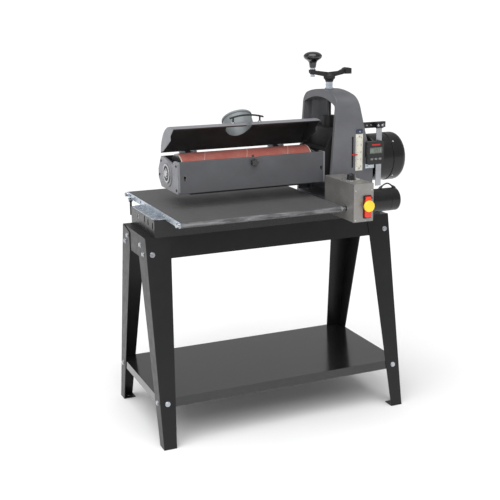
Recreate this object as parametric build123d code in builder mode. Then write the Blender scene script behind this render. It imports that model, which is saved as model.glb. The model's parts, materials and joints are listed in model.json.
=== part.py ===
from build123d import *
import os
from math import atan2, cos, radians, sin, sqrt, tan

# A bench-width drum sander on an open steel stand, in millimetres.
# X runs along the drum from the open outboard end to the motor, Y runs with the
# stock from front to rear, Z is up. The origin is on the floor, at the centre
# of the four foot holes of the stand, straight below the drum's axis line.

os.makedirs("parts", exist_ok=True)

# ---------------------------------------------------------------- stand sizes
STAND_WIDTH = 914.0          # over the leg flanges, along X
STAND_HEIGHT = 690.0         # floor to the top flanges
STAND_TOP_DEPTH = 262.0      # over the legs at the top, along Y
STAND_FOOT_DEPTH = 518.0     # over the legs at the floor
STAND_SHEET = 2.5            # sheet of legs and rails
LEG_FOOT_WIDTH = 44.0        # both flanges at the floor
LEG_TOP_WIDTH = 88.0         # front or rear flange at the top
LEG_CREST_Y = 54.0           # inner edge of a side flange beside the rail
LEG_CREST_DROP = 15.0        # the crest's sloping shoulder below the top
RAIL_HEIGHT = 70.0
RAIL_FLANGE = 46.0           # top flange of a long rail
RAIL_RETURN = 20.0           # bottom flange of a long rail
END_RAIL_HEIGHT = 76.0
END_RAIL_FLANGE = 56.0
SHELF_TOP = 166.0
SHELF_LIP = 29.0
SHELF_SHEET = 1.8
FOOT_HOLE = 10.0
STAND_BOLT = 8.0
BOLT_CLEARANCE = 0.4         # radial, in every bolt hole

# ----------------------------------------------------------- machine base sizes
BASE_LENGTH = 848.0
BASE_DEPTH = 260.0
BASE_HEIGHT = 59.0
BASE_WALL = 4.0
BASE_FLANGE = 22.0           # inward bottom flanges that bolt to the rails

# -------------------------------------------------------------- conveyor sizes
BELT_LEFT = -387.0
BELT_RIGHT = 176.0
BELT_TOP = 771.0
BELT_THICKNESS = 1.5
BELT_TURN_RADIUS = 10.0      # outside of the belt round a roller
BELT_REACH = 291.0           # front and rear of the belt from the drum's axis
ROLLER_GAP = 0.3             # radial, roller to belt
JOURNAL = 8.0
BUSHING = 14.0
JOURNAL_GAP = 0.05           # radial running clearance in every bearing
BED_WALL = 3.0
BED_REACH = 262.0
BRACKET_SHEET = 2.0
BRACKET_HALF_FLANGE = 126.0  # half length of the flange that sits on the base

# ------------------------------------------------------------------ head sizes
DRUM_DIAMETER = 127.0        # over the abrasive
ABRASIVE_THICKNESS = 1.2
DRUM_LEFT = -296.0
DRUM_RIGHT = 187.0
DRUM_WALL = 8.0
OPENING = 43.0               # belt to drum at rest
OPENING_MIN = 1.0
OPENING_MAX = 102.0
SHAFT = 25.4
HOUSING_LEFT = -330.0
HOUSING_RIGHT = 212.0
END_PLATE_LEFT_THICK = 8.0
END_PLATE_RIGHT_THICK = 6.0
HOUSING_FRONT = -103.0
HOUSING_REAR = 98.0
HOUSING_BELOW = 56.0         # housing's lower edge below the drum's axis
HOUSING_ABOVE = 50.0         # housing's upper edge above the drum's axis
PANEL_SHEET = 2.5

# ----------------------------------------------------------------- cover sizes
COVER_OPEN = 37.0            # degrees open in the rest pose
COVER_CHORD = 168.0          # hinge line to front rim
COVER_RISE = 42.0            # crown above the hinge line
COVER_SHEET = 1.6
COVER_HINGE_Y = 62.0
COVER_HINGE_ABOVE = 6.0      # hinge line above the housing's upper edge
HINGE_PIN = 5.0
KNUCKLE = 9.0
PORT_OUTSIDE = 102.0
PORT_WALL = 3.0
PORT_HEIGHT = 36.0           # above the crown of the cover
HANDLE_SPAN = 98.0
HANDLE_RISE = 18.0
HANDLE_ROD = 6.0

# ---------------------------------------------------------------- column sizes
COLUMN_DEPTH = 260.0
COLUMN_TOP = 1133.0
COLUMN_SHOULDER = 1108.0     # where the crown meets the front and rear faces
COLUMN_LEG = 14.0            # thickness of the two uprights
COLUMN_CROWN = 25.0          # thickness of the arch at the top
COLUMN_FOOT_PLATE = 12.0
WAY_WIDTH = 26.0
WAY_DEPTH = 12.0
WAY_GAP = 0.3
SCREW_X = 281.0
SCREW = 16.0
SCREW_BOTTOM = 975.0
CARRIAGE_TOP = 1000.0
LEAD_NUT_TOP = 1040.0
LEAD_NUT_GAP = 0.3           # radial, screw to nut

# ---------------------------------------------------------------- motor sizes
MOTOR_DIAMETER = 176.0
MOTOR_FLANGE_X = 404.0
MOTOR_BODY_X = 427.0
MOTOR_SEAM_X = 503.0
MOTOR_END_X = 561.0
GEARMOTOR_DIAMETER = 78.0
GEARMOTOR_END_X = 392.0
GEARMOTOR_ABOVE = 17.0       # gearmotor's axis above the drive roller's axis

# ---------------------------------------------------------- control box sizes
BOX_LEFT = 199.0
BOX_WIDTH = 74.0
BOX_DEPTH = 204.0
BOX_BOTTOM = 722.0
BOX_HEIGHT = 128.0
BOX_SHEET = 1.5
DIAL_X, DIAL_Y = 238.0, -245.0
SWITCH_X, SWITCH_Z = 249.0, 772.0

# ---------------------------------------------------------------- readout sizes
READOUT_LEFT, READOUT_RIGHT = 355.0, 420.0
READOUT_BOTTOM, READOUT_TOP = 877.0, 957.0
READOUT_DEPTH = 19.0
STRIP_LEFT, STRIP_RIGHT = 400.0, 422.0
STRIP_BOTTOM = 796.0
BUTTON_TRAVEL = 1.0

# ------------------------------------------------------------- derived heights
HALF_WIDTH = STAND_WIDTH / 2
HALF_TOP = STAND_TOP_DEPTH / 2
HALF_FOOT = STAND_FOOT_DEPTH / 2
BASE_TOP = STAND_HEIGHT + BASE_HEIGHT
HALF_BASE = BASE_LENGTH / 2
BASE_FRONT = -BASE_DEPTH / 2
ROLLER_Z = BELT_TOP - BELT_TURN_RADIUS
ROLLER_Y = BELT_REACH - BELT_TURN_RADIUS
ROLLER_RADIUS = BELT_TURN_RADIUS - BELT_THICKNESS - ROLLER_GAP
WEB_LEFT = BELT_LEFT - 2.0               # inner faces of the two bracket webs
WEB_RIGHT = BELT_RIGHT + 2.0
DRUM_RADIUS = DRUM_DIAMETER / 2
DRUM_Z = BELT_TOP + OPENING + DRUM_RADIUS
HEAD_DOWN = OPENING - OPENING_MIN
HEAD_UP = OPENING_MAX - OPENING
HOUSING_BOTTOM = DRUM_Z - HOUSING_BELOW
HOUSING_TOP = DRUM_Z + HOUSING_ABOVE
PANEL_LEFT = HOUSING_LEFT + END_PLATE_LEFT_THICK
PANEL_RIGHT = HOUSING_RIGHT - END_PLATE_RIGHT_THICK
HOUSING_MIDDLE = (HOUSING_LEFT + HOUSING_RIGHT) / 2
HINGE_Z = HOUSING_TOP + COVER_HINGE_ABOVE
COLUMN_FRONT = -COLUMN_DEPTH / 2
LEG_INSIDE = COLUMN_DEPTH / 2 - COLUMN_LEG
BOX_RIGHT = BOX_LEFT + BOX_WIDTH
BOX_FRONT = COLUMN_FRONT - BOX_DEPTH
BOX_TOP = BOX_BOTTOM + BOX_HEIGHT
GEARMOTOR_Y = -ROLLER_Y
GEARMOTOR_Z = ROLLER_Z + GEARMOTOR_ABOVE
GEARMOTOR_RADIUS = GEARMOTOR_DIAMETER / 2


def across(x):
    """A sketch plane in (Y, Z) at x, extruding towards +X."""
    return Plane.YZ.offset(x)


def facing(y):
    """A sketch plane in (X, Z) at y, extruding towards the front, -Y."""
    return Plane.XZ.offset(-y)


def level(z):
    """A sketch plane in (X, Y) at z, extruding upwards."""
    return Plane.XY.offset(z)


def block(x, y, z, mode=Mode.ADD):
    """A box between pairs of limits, inside the part being built."""
    with Locations(((x[0] + x[1]) / 2, (y[0] + y[1]) / 2, (z[0] + z[1]) / 2)):
        Box(x[1] - x[0], y[1] - y[0], z[1] - z[0], mode=mode)


def rod(start, direction, length, diameter, mode=Mode.ADD):
    """A cylinder that starts at a point and runs along a direction."""
    with Locations(Plane(origin=start, z_dir=direction)):
        Cylinder(
            diameter / 2, length, align=(Align.CENTER, Align.CENTER, Align.MIN), mode=mode
        )


def hexagon(start, direction, length, across_flats, mode=Mode.ADD):
    """A hexagonal prism that starts at a point and runs along a direction."""
    plane = Plane(origin=start, z_dir=direction)
    corner = across_flats / sqrt(3)
    with BuildSketch(plane) as outline:
        RegularPolygon(corner, 6)
    add(extrude(outline.sketch, amount=length, mode=Mode.PRIVATE), mode=mode)


def bolt(place, outward, diameter, grip, flats, nut=True):
    """A hexagon bolt: head outside its face, shank through the grip, nut behind."""
    inward = tuple(-c for c in outward)
    hexagon(place, outward, 0.6 * diameter, flats)
    tail = grip + (diameter if nut else 0)
    rod(place, inward, tail, diameter)
    if nut:
        back = tuple(p + grip * c for p, c in zip(place, inward))
        hexagon(back, inward, 0.8 * diameter, flats)


def save(builder, name):
    """Label a finished piece and write it."""
    builder.part.label = name
    export_step(builder.part, f"parts/{name}.step")


# ====================================================================== stand
LEG_SLOPE = (HALF_FOOT - HALF_TOP) / STAND_HEIGHT
SPLAY = atan2(HALF_FOOT - HALF_TOP, STAND_HEIGHT)
RAIL_BOTTOM = STAND_HEIGHT - RAIL_HEIGHT
SIDE_BOLT_PLACES = [
    (LEG_CREST_Y + 21, STAND_HEIGHT - 30),
    (LEG_CREST_Y + 51, STAND_HEIGHT - 56),
]
FACE_BOLT = (HALF_WIDTH - 20, STAND_HEIGHT - 52)
SHELF_FACE_BOLT = (HALF_WIDTH - 26, SHELF_TOP - 16)
SHELF_SIDE_BOLT_Z = SHELF_TOP - 17


def leg_y(z):
    """Distance of the legs' outer faces from the middle at a height."""
    return HALF_FOOT - LEG_SLOPE * z


SHELF_SIDE_BOLT_Y = leg_y(SHELF_SIDE_BOLT_Z) - 27
STAND_HOLE = STAND_BOLT + 2 * BOLT_CLEARANCE


def face_hole(x, z, side):
    """A bolt hole square to the slanting front or rear face of the stand."""
    out = (0, side * cos(SPLAY), sin(SPLAY))
    start = tuple(p - 10 * n for p, n in zip((x, side * leg_y(z), z), out))
    rod(start, out, 14, STAND_HOLE, mode=Mode.SUBTRACT)


def stand_legs(side):
    """The left and right legs of one side, -1 at the front and 1 at the rear."""
    crest_z = STAND_HEIGHT - END_RAIL_HEIGHT
    with BuildPart() as legs:
        with BuildSketch(across(HALF_WIDTH - STAND_SHEET)):
            with BuildLine():
                Polyline(
                    (side * HALF_FOOT, 0),
                    (side * (HALF_FOOT - LEG_FOOT_WIDTH), 0),
                    (side * LEG_CREST_Y, crest_z),
                    (side * LEG_CREST_Y, STAND_HEIGHT - LEG_CREST_DROP),
                    (side * (HALF_TOP - 11), STAND_HEIGHT),
                    (side * HALF_TOP, STAND_HEIGHT),
                    close=True,
                )
            make_face()
        extrude(amount=STAND_SHEET)
        with BuildSketch(across(HALF_WIDTH - LEG_TOP_WIDTH)):
            with BuildLine():
                Polyline(
                    (side * HALF_FOOT, 0),
                    (side * (HALF_FOOT - STAND_SHEET), 0),
                    (side * (HALF_TOP - STAND_SHEET), STAND_HEIGHT),
                    (side * HALF_TOP, STAND_HEIGHT),
                    close=True,
                )
            make_face()
        extrude(amount=LEG_TOP_WIDTH)
        with BuildSketch(Plane.XZ):
            with BuildLine():
                Polyline(
                    (HALF_WIDTH - LEG_TOP_WIDTH - 5, -1),
                    (HALF_WIDTH - LEG_FOOT_WIDTH, -1),
                    (HALF_WIDTH - LEG_FOOT_WIDTH, 0),
                    (HALF_WIDTH - LEG_TOP_WIDTH, STAND_HEIGHT),
                    (HALF_WIDTH - LEG_TOP_WIDTH - 5, STAND_HEIGHT + 1),
                    close=True,
                )
            make_face()
        extrude(amount=HALF_FOOT + 1, both=True, mode=Mode.SUBTRACT)
        tab = sorted((side * HALF_FOOT, side * (HALF_FOOT - LEG_FOOT_WIDTH)))
        block((HALF_WIDTH - LEG_FOOT_WIDTH, HALF_WIDTH), tab, (0, STAND_SHEET))
        corner = legs.edges().sort_by_distance((HALF_WIDTH, side * leg_y(345), 345))[0]
        fillet(corner, STAND_SHEET)
        centre = (HALF_WIDTH - LEG_FOOT_WIDTH / 2, side * (HALF_FOOT - LEG_FOOT_WIDTH / 2))
        rod((*centre, -1), (0, 0, 1), STAND_SHEET + 2, FOOT_HOLE, mode=Mode.SUBTRACT)
        for y, z in SIDE_BOLT_PLACES + [(SHELF_SIDE_BOLT_Y, SHELF_SIDE_BOLT_Z)]:
            start = (HALF_WIDTH - STAND_SHEET - 1, side * y, z)
            rod(start, (1, 0, 0), STAND_SHEET + 2, STAND_HOLE, mode=Mode.SUBTRACT)
        for x, z in (FACE_BOLT, SHELF_FACE_BOLT):
            face_hole(x, z, side)
        mirror(about=Plane.YZ)
    return legs


stand_legs_front = stand_legs(-1)
save(stand_legs_front, "stand_legs_front")
stand_legs_rear = stand_legs(1)
save(stand_legs_rear, "stand_legs_rear")

BASE_BOLT = 8.0
BASE_BOLT_X = HALF_BASE - 44
BASE_BOLT_Y = BASE_DEPTH / 2 - BASE_WALL - 9
RAIL_END = HALF_WIDTH - 2 * STAND_SHEET

with BuildPart() as stand_rails:
    outer_top = HALF_TOP - STAND_SHEET
    outer_low = leg_y(RAIL_BOTTOM) - STAND_SHEET
    with BuildSketch(across(-RAIL_END)):
        with BuildLine():
            Polyline(
                (outer_low, RAIL_BOTTOM),
                (outer_top, STAND_HEIGHT),
                (outer_top - RAIL_FLANGE, STAND_HEIGHT),
                (outer_top - RAIL_FLANGE, STAND_HEIGHT - STAND_SHEET),
                (outer_top - STAND_SHEET, STAND_HEIGHT - STAND_SHEET),
                (outer_low - STAND_SHEET, RAIL_BOTTOM + STAND_SHEET),
                (outer_low - RAIL_RETURN, RAIL_BOTTOM + STAND_SHEET),
                (outer_low - RAIL_RETURN, RAIL_BOTTOM),
                close=True,
            )
        make_face()
    extrude(amount=2 * RAIL_END)
    for x in (-FACE_BOLT[0], FACE_BOLT[0]):
        face_hole(x, FACE_BOLT[1], 1)
    for x in (-BASE_BOLT_X, BASE_BOLT_X):
        start = (x, BASE_BOLT_Y, STAND_HEIGHT - 5)
        hole = BASE_BOLT + 2 * BOLT_CLEARANCE
        rod(start, (0, 0, 1), 6, hole, mode=Mode.SUBTRACT)
    mirror(about=Plane.XZ)
    end_flange_y = outer_top - RAIL_FLANGE
    end_bottom = STAND_HEIGHT - END_RAIL_HEIGHT
    web_reach = outer_top - STAND_SHEET - 2
    for side in (-1, 1):
        web = sorted((side * RAIL_END, side * (RAIL_END + STAND_SHEET)))
        block(web, (-web_reach, web_reach), (end_bottom, STAND_HEIGHT))
        flange = sorted((side * (RAIL_END - END_RAIL_FLANGE), side * RAIL_END))
        top = (STAND_HEIGHT - STAND_SHEET, STAND_HEIGHT)
        block(flange, (-end_flange_y, end_flange_y), top)
        for y, z in SIDE_BOLT_PLACES:
            for end in (-1, 1):
                start = (web[0] - 1, end * y, z)
                rod(start, (1, 0, 0), STAND_SHEET + 2, STAND_HOLE, mode=Mode.SUBTRACT)
save(stand_rails, "stand_rails")

with BuildPart() as stand_shelf:
    shelf_low = SHELF_TOP - SHELF_LIP
    shelf_half = HALF_WIDTH - STAND_SHEET
    with BuildSketch(across(-shelf_half)):
        with BuildLine():
            Polyline(
                (-leg_y(shelf_low) + STAND_SHEET, shelf_low),
                (leg_y(shelf_low) - STAND_SHEET, shelf_low),
                (leg_y(SHELF_TOP) - STAND_SHEET, SHELF_TOP),
                (-leg_y(SHELF_TOP) + STAND_SHEET, SHELF_TOP),
                close=True,
            )
        make_face()
    extrude(amount=2 * shelf_half)
    inset = STAND_SHEET + SHELF_SHEET
    with BuildSketch(across(-shelf_half + SHELF_SHEET)):
        with BuildLine():
            Polyline(
                (-leg_y(shelf_low - 1) + inset, shelf_low - 1),
                (leg_y(shelf_low - 1) - inset, shelf_low - 1),
                (leg_y(SHELF_TOP - SHELF_SHEET) - inset, SHELF_TOP - SHELF_SHEET),
                (-leg_y(SHELF_TOP - SHELF_SHEET) + inset, SHELF_TOP - SHELF_SHEET),
                close=True,
            )
        make_face()
    extrude(amount=2 * (shelf_half - SHELF_SHEET), mode=Mode.SUBTRACT)
    for sx in (-1, 1):
        for sy in (-1, 1):
            start = (sx * (shelf_half - 5), sy * SHELF_SIDE_BOLT_Y, SHELF_SIDE_BOLT_Z)
            rod(start, (sx, 0, 0), 8, STAND_HOLE, mode=Mode.SUBTRACT)
            face_hole(sx * SHELF_FACE_BOLT[0], SHELF_FACE_BOLT[1], sy)
save(stand_shelf, "stand_shelf")

with BuildPart() as stand_bolts:
    flats = 13.0
    for sx in (-1, 1):
        for sy in (-1, 1):
            face_normal = (0, sy * cos(SPLAY), sin(SPLAY))
            for y, z in SIDE_BOLT_PLACES:
                place = (sx * HALF_WIDTH, sy * y, z)
                bolt(place, (sx, 0, 0), STAND_BOLT, 2 * STAND_SHEET, flats)
            place = (sx * HALF_WIDTH, sy * SHELF_SIDE_BOLT_Y, SHELF_SIDE_BOLT_Z)
            bolt(place, (sx, 0, 0), STAND_BOLT, STAND_SHEET + SHELF_SHEET, flats)
            for (x, z), behind in ((FACE_BOLT, STAND_SHEET), (SHELF_FACE_BOLT, SHELF_SHEET)):
                place = (sx * x, sy * leg_y(z), z)
                grip = (STAND_SHEET + behind) * cos(SPLAY)
                bolt(place, face_normal, STAND_BOLT, grip, flats)
save(stand_bolts, "stand_bolts")

# =============================================================== machine base
COLUMN_BOLTS = [(x, y) for x in (SCREW_X - 40, SCREW_X + 80) for y in (-70, 70)]
COLUMN_BOLT = 10.0
BRACKET_BOLT = 6.0
BRACKET_BOLTS = [(x, y) for x in (WEB_LEFT - 20, WEB_RIGHT + 21) for y in (-104, -40, 40, 104)]
END_SOCKET = (51.0, STAND_HEIGHT + 38)
END_SLOTS = [(-24.0, 44.0), (-62.0, 40.0), (-110.0, 37.0)]

with BuildPart() as base_frame:
    half_depth = BASE_DEPTH / 2
    block((-HALF_BASE, HALF_BASE), (-half_depth, half_depth), (STAND_HEIGHT, BASE_TOP))
    rim = base_frame.edges().filter_by(Axis.X).group_by(Axis.Z)[-1]
    fillet(rim, 3)
    block(
        (-HALF_BASE + BASE_WALL, HALF_BASE - BASE_WALL),
        (-half_depth + BASE_WALL, half_depth - BASE_WALL),
        (STAND_HEIGHT + BASE_WALL, BASE_TOP - BASE_WALL),
        mode=Mode.SUBTRACT,
    )
    block(
        (-HALF_BASE + BASE_WALL, HALF_BASE - BASE_WALL),
        (-half_depth + BASE_FLANGE, half_depth - BASE_FLANGE),
        (STAND_HEIGHT - 1, STAND_HEIGHT + BASE_WALL + 1),
        mode=Mode.SUBTRACT,
    )
    for sx in (-1, 1):
        for sy in (-1, 1):
            start = (sx * BASE_BOLT_X, sy * BASE_BOLT_Y, STAND_HEIGHT - 1)
            hole = BASE_BOLT + 2 * BOLT_CLEARANCE
            rod(start, (0, 0, 1), BASE_WALL + 2, hole, mode=Mode.SUBTRACT)
        wall_x = sx * HALF_BASE
        start = (wall_x - 5 * sx, *END_SOCKET)
        rod(start, (sx, 0, 0), 6, 16.8, mode=Mode.SUBTRACT)
    for x, y in COLUMN_BOLTS:
        hole = COLUMN_BOLT + 2 * BOLT_CLEARANCE
        rod((x, y, BASE_TOP - 6), (0, 0, 1), 8, hole, mode=Mode.SUBTRACT)
    for x, y in BRACKET_BOLTS:
        hole = BRACKET_BOLT + 2 * BOLT_CLEARANCE
        rod((x, y, BASE_TOP - 6), (0, 0, 1), 8, hole, mode=Mode.SUBTRACT)
    with BuildSketch(across(-HALF_BASE - 1)):
        for y, up in END_SLOTS:
            with Locations((y, STAND_HEIGHT + up)):
                SlotOverall(22, 9, rotation=90)
    extrude(amount=BASE_LENGTH + 2, mode=Mode.SUBTRACT)
save(base_frame, "base_frame")

# ================================================================== conveyor
with BuildPart() as conveyor_bed:
    bed_top = BELT_TOP - BELT_THICKNESS - 0.1
    bed_bottom = ROLLER_Z - BELT_TURN_RADIUS + BELT_THICKNESS + 1.5
    block((WEB_LEFT, WEB_RIGHT), (-BED_REACH, BED_REACH), (bed_bottom, bed_top))
    block(
        (WEB_LEFT + BED_WALL, WEB_RIGHT - BED_WALL),
        (-BED_REACH + BED_WALL, BED_REACH - BED_WALL),
        (bed_bottom - 1, bed_top - BED_WALL),
        mode=Mode.SUBTRACT,
    )
    for fraction in (0.25, 0.5, 0.75):
        x = WEB_LEFT + fraction * (WEB_RIGHT - WEB_LEFT)
        rib = (x - BED_WALL / 2, x + BED_WALL / 2)
        block(rib, (-BED_REACH + 1, BED_REACH - 1), (bed_bottom, bed_top - 1))
    bed_bolt_z = (bed_top + bed_bottom) / 2
    bed_bolts = [-BED_REACH + 10, -BRACKET_HALF_FLANGE, BRACKET_HALF_FLANGE, BED_REACH - 10]
    for y in bed_bolts:
        start = (WEB_LEFT - 1, y, bed_bolt_z)
        rod(start, (1, 0, 0), BED_WALL + 1, 5.8, mode=Mode.SUBTRACT)
        start = (WEB_RIGHT + 1, y, bed_bolt_z)
        rod(start, (-1, 0, 0), BED_WALL + 1, 5.8, mode=Mode.SUBTRACT)
save(conveyor_bed, "conveyor_bed")

with BuildPart() as conveyor_belt:
    with BuildSketch(across(BELT_LEFT)):
        with Locations((0, ROLLER_Z)):
            SlotOverall(2 * BELT_REACH, 2 * BELT_TURN_RADIUS)
            inside = BELT_TURN_RADIUS - BELT_THICKNESS
            SlotOverall(2 * (ROLLER_Y + inside), 2 * inside, mode=Mode.SUBTRACT)
    extrude(amount=BELT_RIGHT - BELT_LEFT)
save(conveyor_belt, "conveyor_belt")

STOP_ROD_Y = 220.0
with BuildPart() as conveyor_brackets:
    tip = BELT_REACH + 2
    web_low = BELT_TOP - 2 * BELT_TURN_RADIUS
    flange_out = HALF_BASE + WEB_LEFT        # width of the flange beyond the web's inner face
    for side, face in ((-1, WEB_LEFT), (1, WEB_RIGHT)):
        web = sorted((face, face + side * BRACKET_SHEET))
        with BuildSketch(across(web[0])):
            with Locations((0, ROLLER_Z)):
                SlotOverall(2 * tip, BELT_TOP - web_low)
            with Locations((0, (BASE_TOP + ROLLER_Z) / 2)):
                Rectangle(2 * BRACKET_HALF_FLANGE, ROLLER_Z - BASE_TOP)
        extrude(amount=BRACKET_SHEET)
        with BuildSketch(level(BASE_TOP)):
            with Locations((face + side * flange_out / 2, 0)):
                Rectangle(flange_out, 2 * BRACKET_HALF_FLANGE)
            outer = [(face + side * flange_out, sy * BRACKET_HALF_FLANGE) for sy in (-1, 1)]
            for x, y in outer:
                with Locations((x, y)):
                    Rectangle(22, 22, rotation=45, mode=Mode.SUBTRACT)
        extrude(amount=BRACKET_SHEET)
        for y in bed_bolts:
            start = (face - side, y, bed_bolt_z)
            rod(start, (side, 0, 0), BRACKET_SHEET + 2, 5.8, mode=Mode.SUBTRACT)
        for y in (-ROLLER_Y, ROLLER_Y):
            start = (face - side, y, ROLLER_Z)
            rod(start, (side, 0, 0), BRACKET_SHEET + 2, BUSHING, mode=Mode.SUBTRACT)
    for x, y in BRACKET_BOLTS:
        hole = BRACKET_BOLT + 2 * BOLT_CLEARANCE
        rod((x, y, BASE_TOP - 1), (0, 0, 1), BRACKET_SHEET + 2, hole, mode=Mode.SUBTRACT)
    lug_x = WEB_LEFT - BRACKET_SHEET
    block((lug_x - 16, lug_x), (STOP_ROD_Y - 9, STOP_ROD_Y + 9), (web_low + 1, web_low + 7))
    start = (lug_x - 8, STOP_ROD_Y, web_low)
    rod(start, (0, 0, 1), 9, 8, mode=Mode.SUBTRACT)
save(conveyor_brackets, "conveyor_brackets")

with BuildPart() as table_stop_rod:
    rod_low = STAND_HEIGHT + 8
    rod((lug_x - 8, STOP_ROD_Y, rod_low), (0, 0, 1), web_low + 9 - rod_low, 8)
    nut_z = web_low + 1 - 5
    hexagon((lug_x - 8, STOP_ROD_Y, nut_z), (0, 0, 1), 5, 13)
save(table_stop_rod, "table_stop_rod")

BUSHING_OUT = 6.0            # bushing beyond the web's outer face
with BuildPart() as roller_bushings:
    for side, face in ((-1, WEB_LEFT), (1, WEB_RIGHT)):
        outside = face + side * (BRACKET_SHEET + BUSHING_OUT)
        for y in (-ROLLER_Y, ROLLER_Y):
            start = (face - side, y, ROLLER_Z)
            rod(start, (side, 0, 0), abs(outside - start[0]), BUSHING)
            bore = JOURNAL + 2 * JOURNAL_GAP
            rod(start, (side, 0, 0), abs(outside - start[0]), bore, mode=Mode.SUBTRACT)
save(roller_bushings, "roller_bushings")

ROLLER_LEFT = BELT_LEFT + 2
ROLLER_RIGHT = BELT_RIGHT - 2
CAP_GAP = 0.5
CAP_LEFT = WEB_LEFT - BRACKET_SHEET - BUSHING_OUT


def conveyor_roller(y, right_end):
    """A steel roller with its two journals."""
    left_end = CAP_LEFT + CAP_GAP
    with BuildPart() as roller:
        start = (ROLLER_LEFT, y, ROLLER_Z)
        rod(start, (1, 0, 0), ROLLER_RIGHT - ROLLER_LEFT, 2 * ROLLER_RADIUS)
        rod((left_end, y, ROLLER_Z), (1, 0, 0), right_end - left_end, JOURNAL)
    return roller


GEARBOX_LEFT = BOX_LEFT + 18
drive_roller = conveyor_roller(-ROLLER_Y, GEARBOX_LEFT + 30)
save(drive_roller, "drive_roller")
CAP_RIGHT = WEB_RIGHT + BRACKET_SHEET + BUSHING_OUT
idler_roller = conveyor_roller(ROLLER_Y, CAP_RIGHT - CAP_GAP)
save(idler_roller, "idler_roller")

# --------------------------------------------- conveyor gearmotor and its lead
GEARBOX_RIGHT = BOX_RIGHT - BOX_SHEET
with BuildPart() as conveyor_gearbox:
    block(
        (GEARBOX_LEFT, GEARBOX_RIGHT),
        (GEARMOTOR_Y - 34, GEARMOTOR_Y + 34),
        (ROLLER_Z - 24, GEARMOTOR_Z + 30),
    )
    fillet(conveyor_gearbox.edges().filter_by(Axis.X), 8)
    start = (GEARBOX_LEFT - 1, -ROLLER_Y, ROLLER_Z)
    rod(start, (1, 0, 0), 33, JOURNAL + 0.6, mode=Mode.SUBTRACT)
save(conveyor_gearbox, "conveyor_gearbox")

GLAND = 9.0
CABLE = 5.0
GEARMOTOR_TOP = GEARMOTOR_Z + GEARMOTOR_RADIUS
CABLE_ROUTE = [
    (BOX_RIGHT + 58, GEARMOTOR_Y, GEARMOTOR_TOP + 3),
    (BOX_RIGHT + 71, GEARMOTOR_Y, GEARMOTOR_TOP + 15),
    (BOX_RIGHT + 92, GEARMOTOR_Y, GEARMOTOR_TOP + 17),
    (BOX_RIGHT + 108, GEARMOTOR_Y, GEARMOTOR_TOP + 3),
]
with BuildPart() as conveyor_motor:
    start = (BOX_RIGHT, GEARMOTOR_Y, GEARMOTOR_Z)
    rod(start, (1, 0, 0), GEARMOTOR_END_X - BOX_RIGHT, GEARMOTOR_DIAMETER)
    fillet(conveyor_motor.edges().filter_by(GeomType.CIRCLE).group_by(Axis.X)[-1], 8)
    seam_x = GEARMOTOR_END_X - 38
    with BuildSketch(across(seam_x)):
        with Locations((GEARMOTOR_Y, GEARMOTOR_Z)):
            Circle(GEARMOTOR_RADIUS + 1)
            Circle(GEARMOTOR_RADIUS - 1, mode=Mode.SUBTRACT)
    extrude(amount=1.5, mode=Mode.SUBTRACT)
    rod((BOX_RIGHT - BOX_SHEET, GEARMOTOR_Y, GEARMOTOR_Z), (1, 0, 0), 5, 39.4)
    for mouth, beyond in ((CABLE_ROUTE[0], CABLE_ROUTE[1]), (CABLE_ROUTE[-1], CABLE_ROUTE[-2])):
        out = (Vector(*beyond) - Vector(*mouth)).normalized()
        rod(Vector(*mouth) - 9 * out, out, 9, GLAND)
save(conveyor_motor, "conveyor_motor")


def corner_radii(points):
    """Arc radii for a lead's corners: as large as the two runs allow."""
    radii = []
    for before, here, after in zip(points, points[1:], points[2:]):
        run_in = Vector(*here) - Vector(*before)
        run_out = Vector(*after) - Vector(*here)
        turn = radians(run_in.get_angle(run_out))
        shorter = min(run_in.length, run_out.length)
        radii.append(0.45 * shorter / tan(turn / 2))
    return radii


with BuildPart() as motor_cable:
    with BuildLine() as cable_line:
        FilletPolyline(*CABLE_ROUTE, radius=corner_radii(CABLE_ROUTE))
    with BuildSketch(Plane(origin=cable_line.line @ 0, z_dir=cable_line.line % 0)):
        Circle(CABLE / 2)
    sweep(path=cable_line.line)
save(motor_cable, "motor_cable")
print("lead arc radii", [round(r, 1) for r in corner_radii(CABLE_ROUTE)])

# ================================================================ control box
PADDLE_WIDTH, PADDLE_HEIGHT = 23.0, 70.0
BEZEL_WIDTH, BEZEL_HEIGHT = 29.0, 77.0
BOX_SCREWS = [(BOX_LEFT + 7, z) for z in (BOX_BOTTOM + 7, BOX_TOP - 22)]
BOX_SCREWS += [(BOX_LEFT + 43, BOX_BOTTOM + 6), (BOX_RIGHT - 7, BOX_TOP - 22)]
SMALL_SCREW = 3.0

with BuildPart() as control_box:
    outside = ((BOX_LEFT, BOX_RIGHT), (BOX_FRONT, COLUMN_FRONT), (BOX_BOTTOM, BOX_TOP))
    block(*outside)
    fillet(control_box.edges().filter_by(Axis.Y), 1.4)
    block(*[(low + BOX_SHEET, high - BOX_SHEET) for low, high in outside], mode=Mode.SUBTRACT)
    rod((BOX_LEFT - 1, -ROLLER_Y, ROLLER_Z), (1, 0, 0), 4, 16, mode=Mode.SUBTRACT)
    start = (BOX_RIGHT - 3, GEARMOTOR_Y, GEARMOTOR_Z)
    rod(start, (1, 0, 0), 4, 40, mode=Mode.SUBTRACT)
    rod((DIAL_X, DIAL_Y, BOX_TOP - 3), (0, 0, 1), 4, 10, mode=Mode.SUBTRACT)
    with BuildSketch(facing(BOX_FRONT + 3)):
        with Locations((SWITCH_X, SWITCH_Z)):
            Rectangle(BEZEL_WIDTH - 6, BEZEL_HEIGHT - 6)
        with Locations(*BOX_SCREWS):
            Circle(SMALL_SCREW / 2 + 0.2)
    extrude(amount=4, mode=Mode.SUBTRACT)
save(control_box, "control_box")

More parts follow.
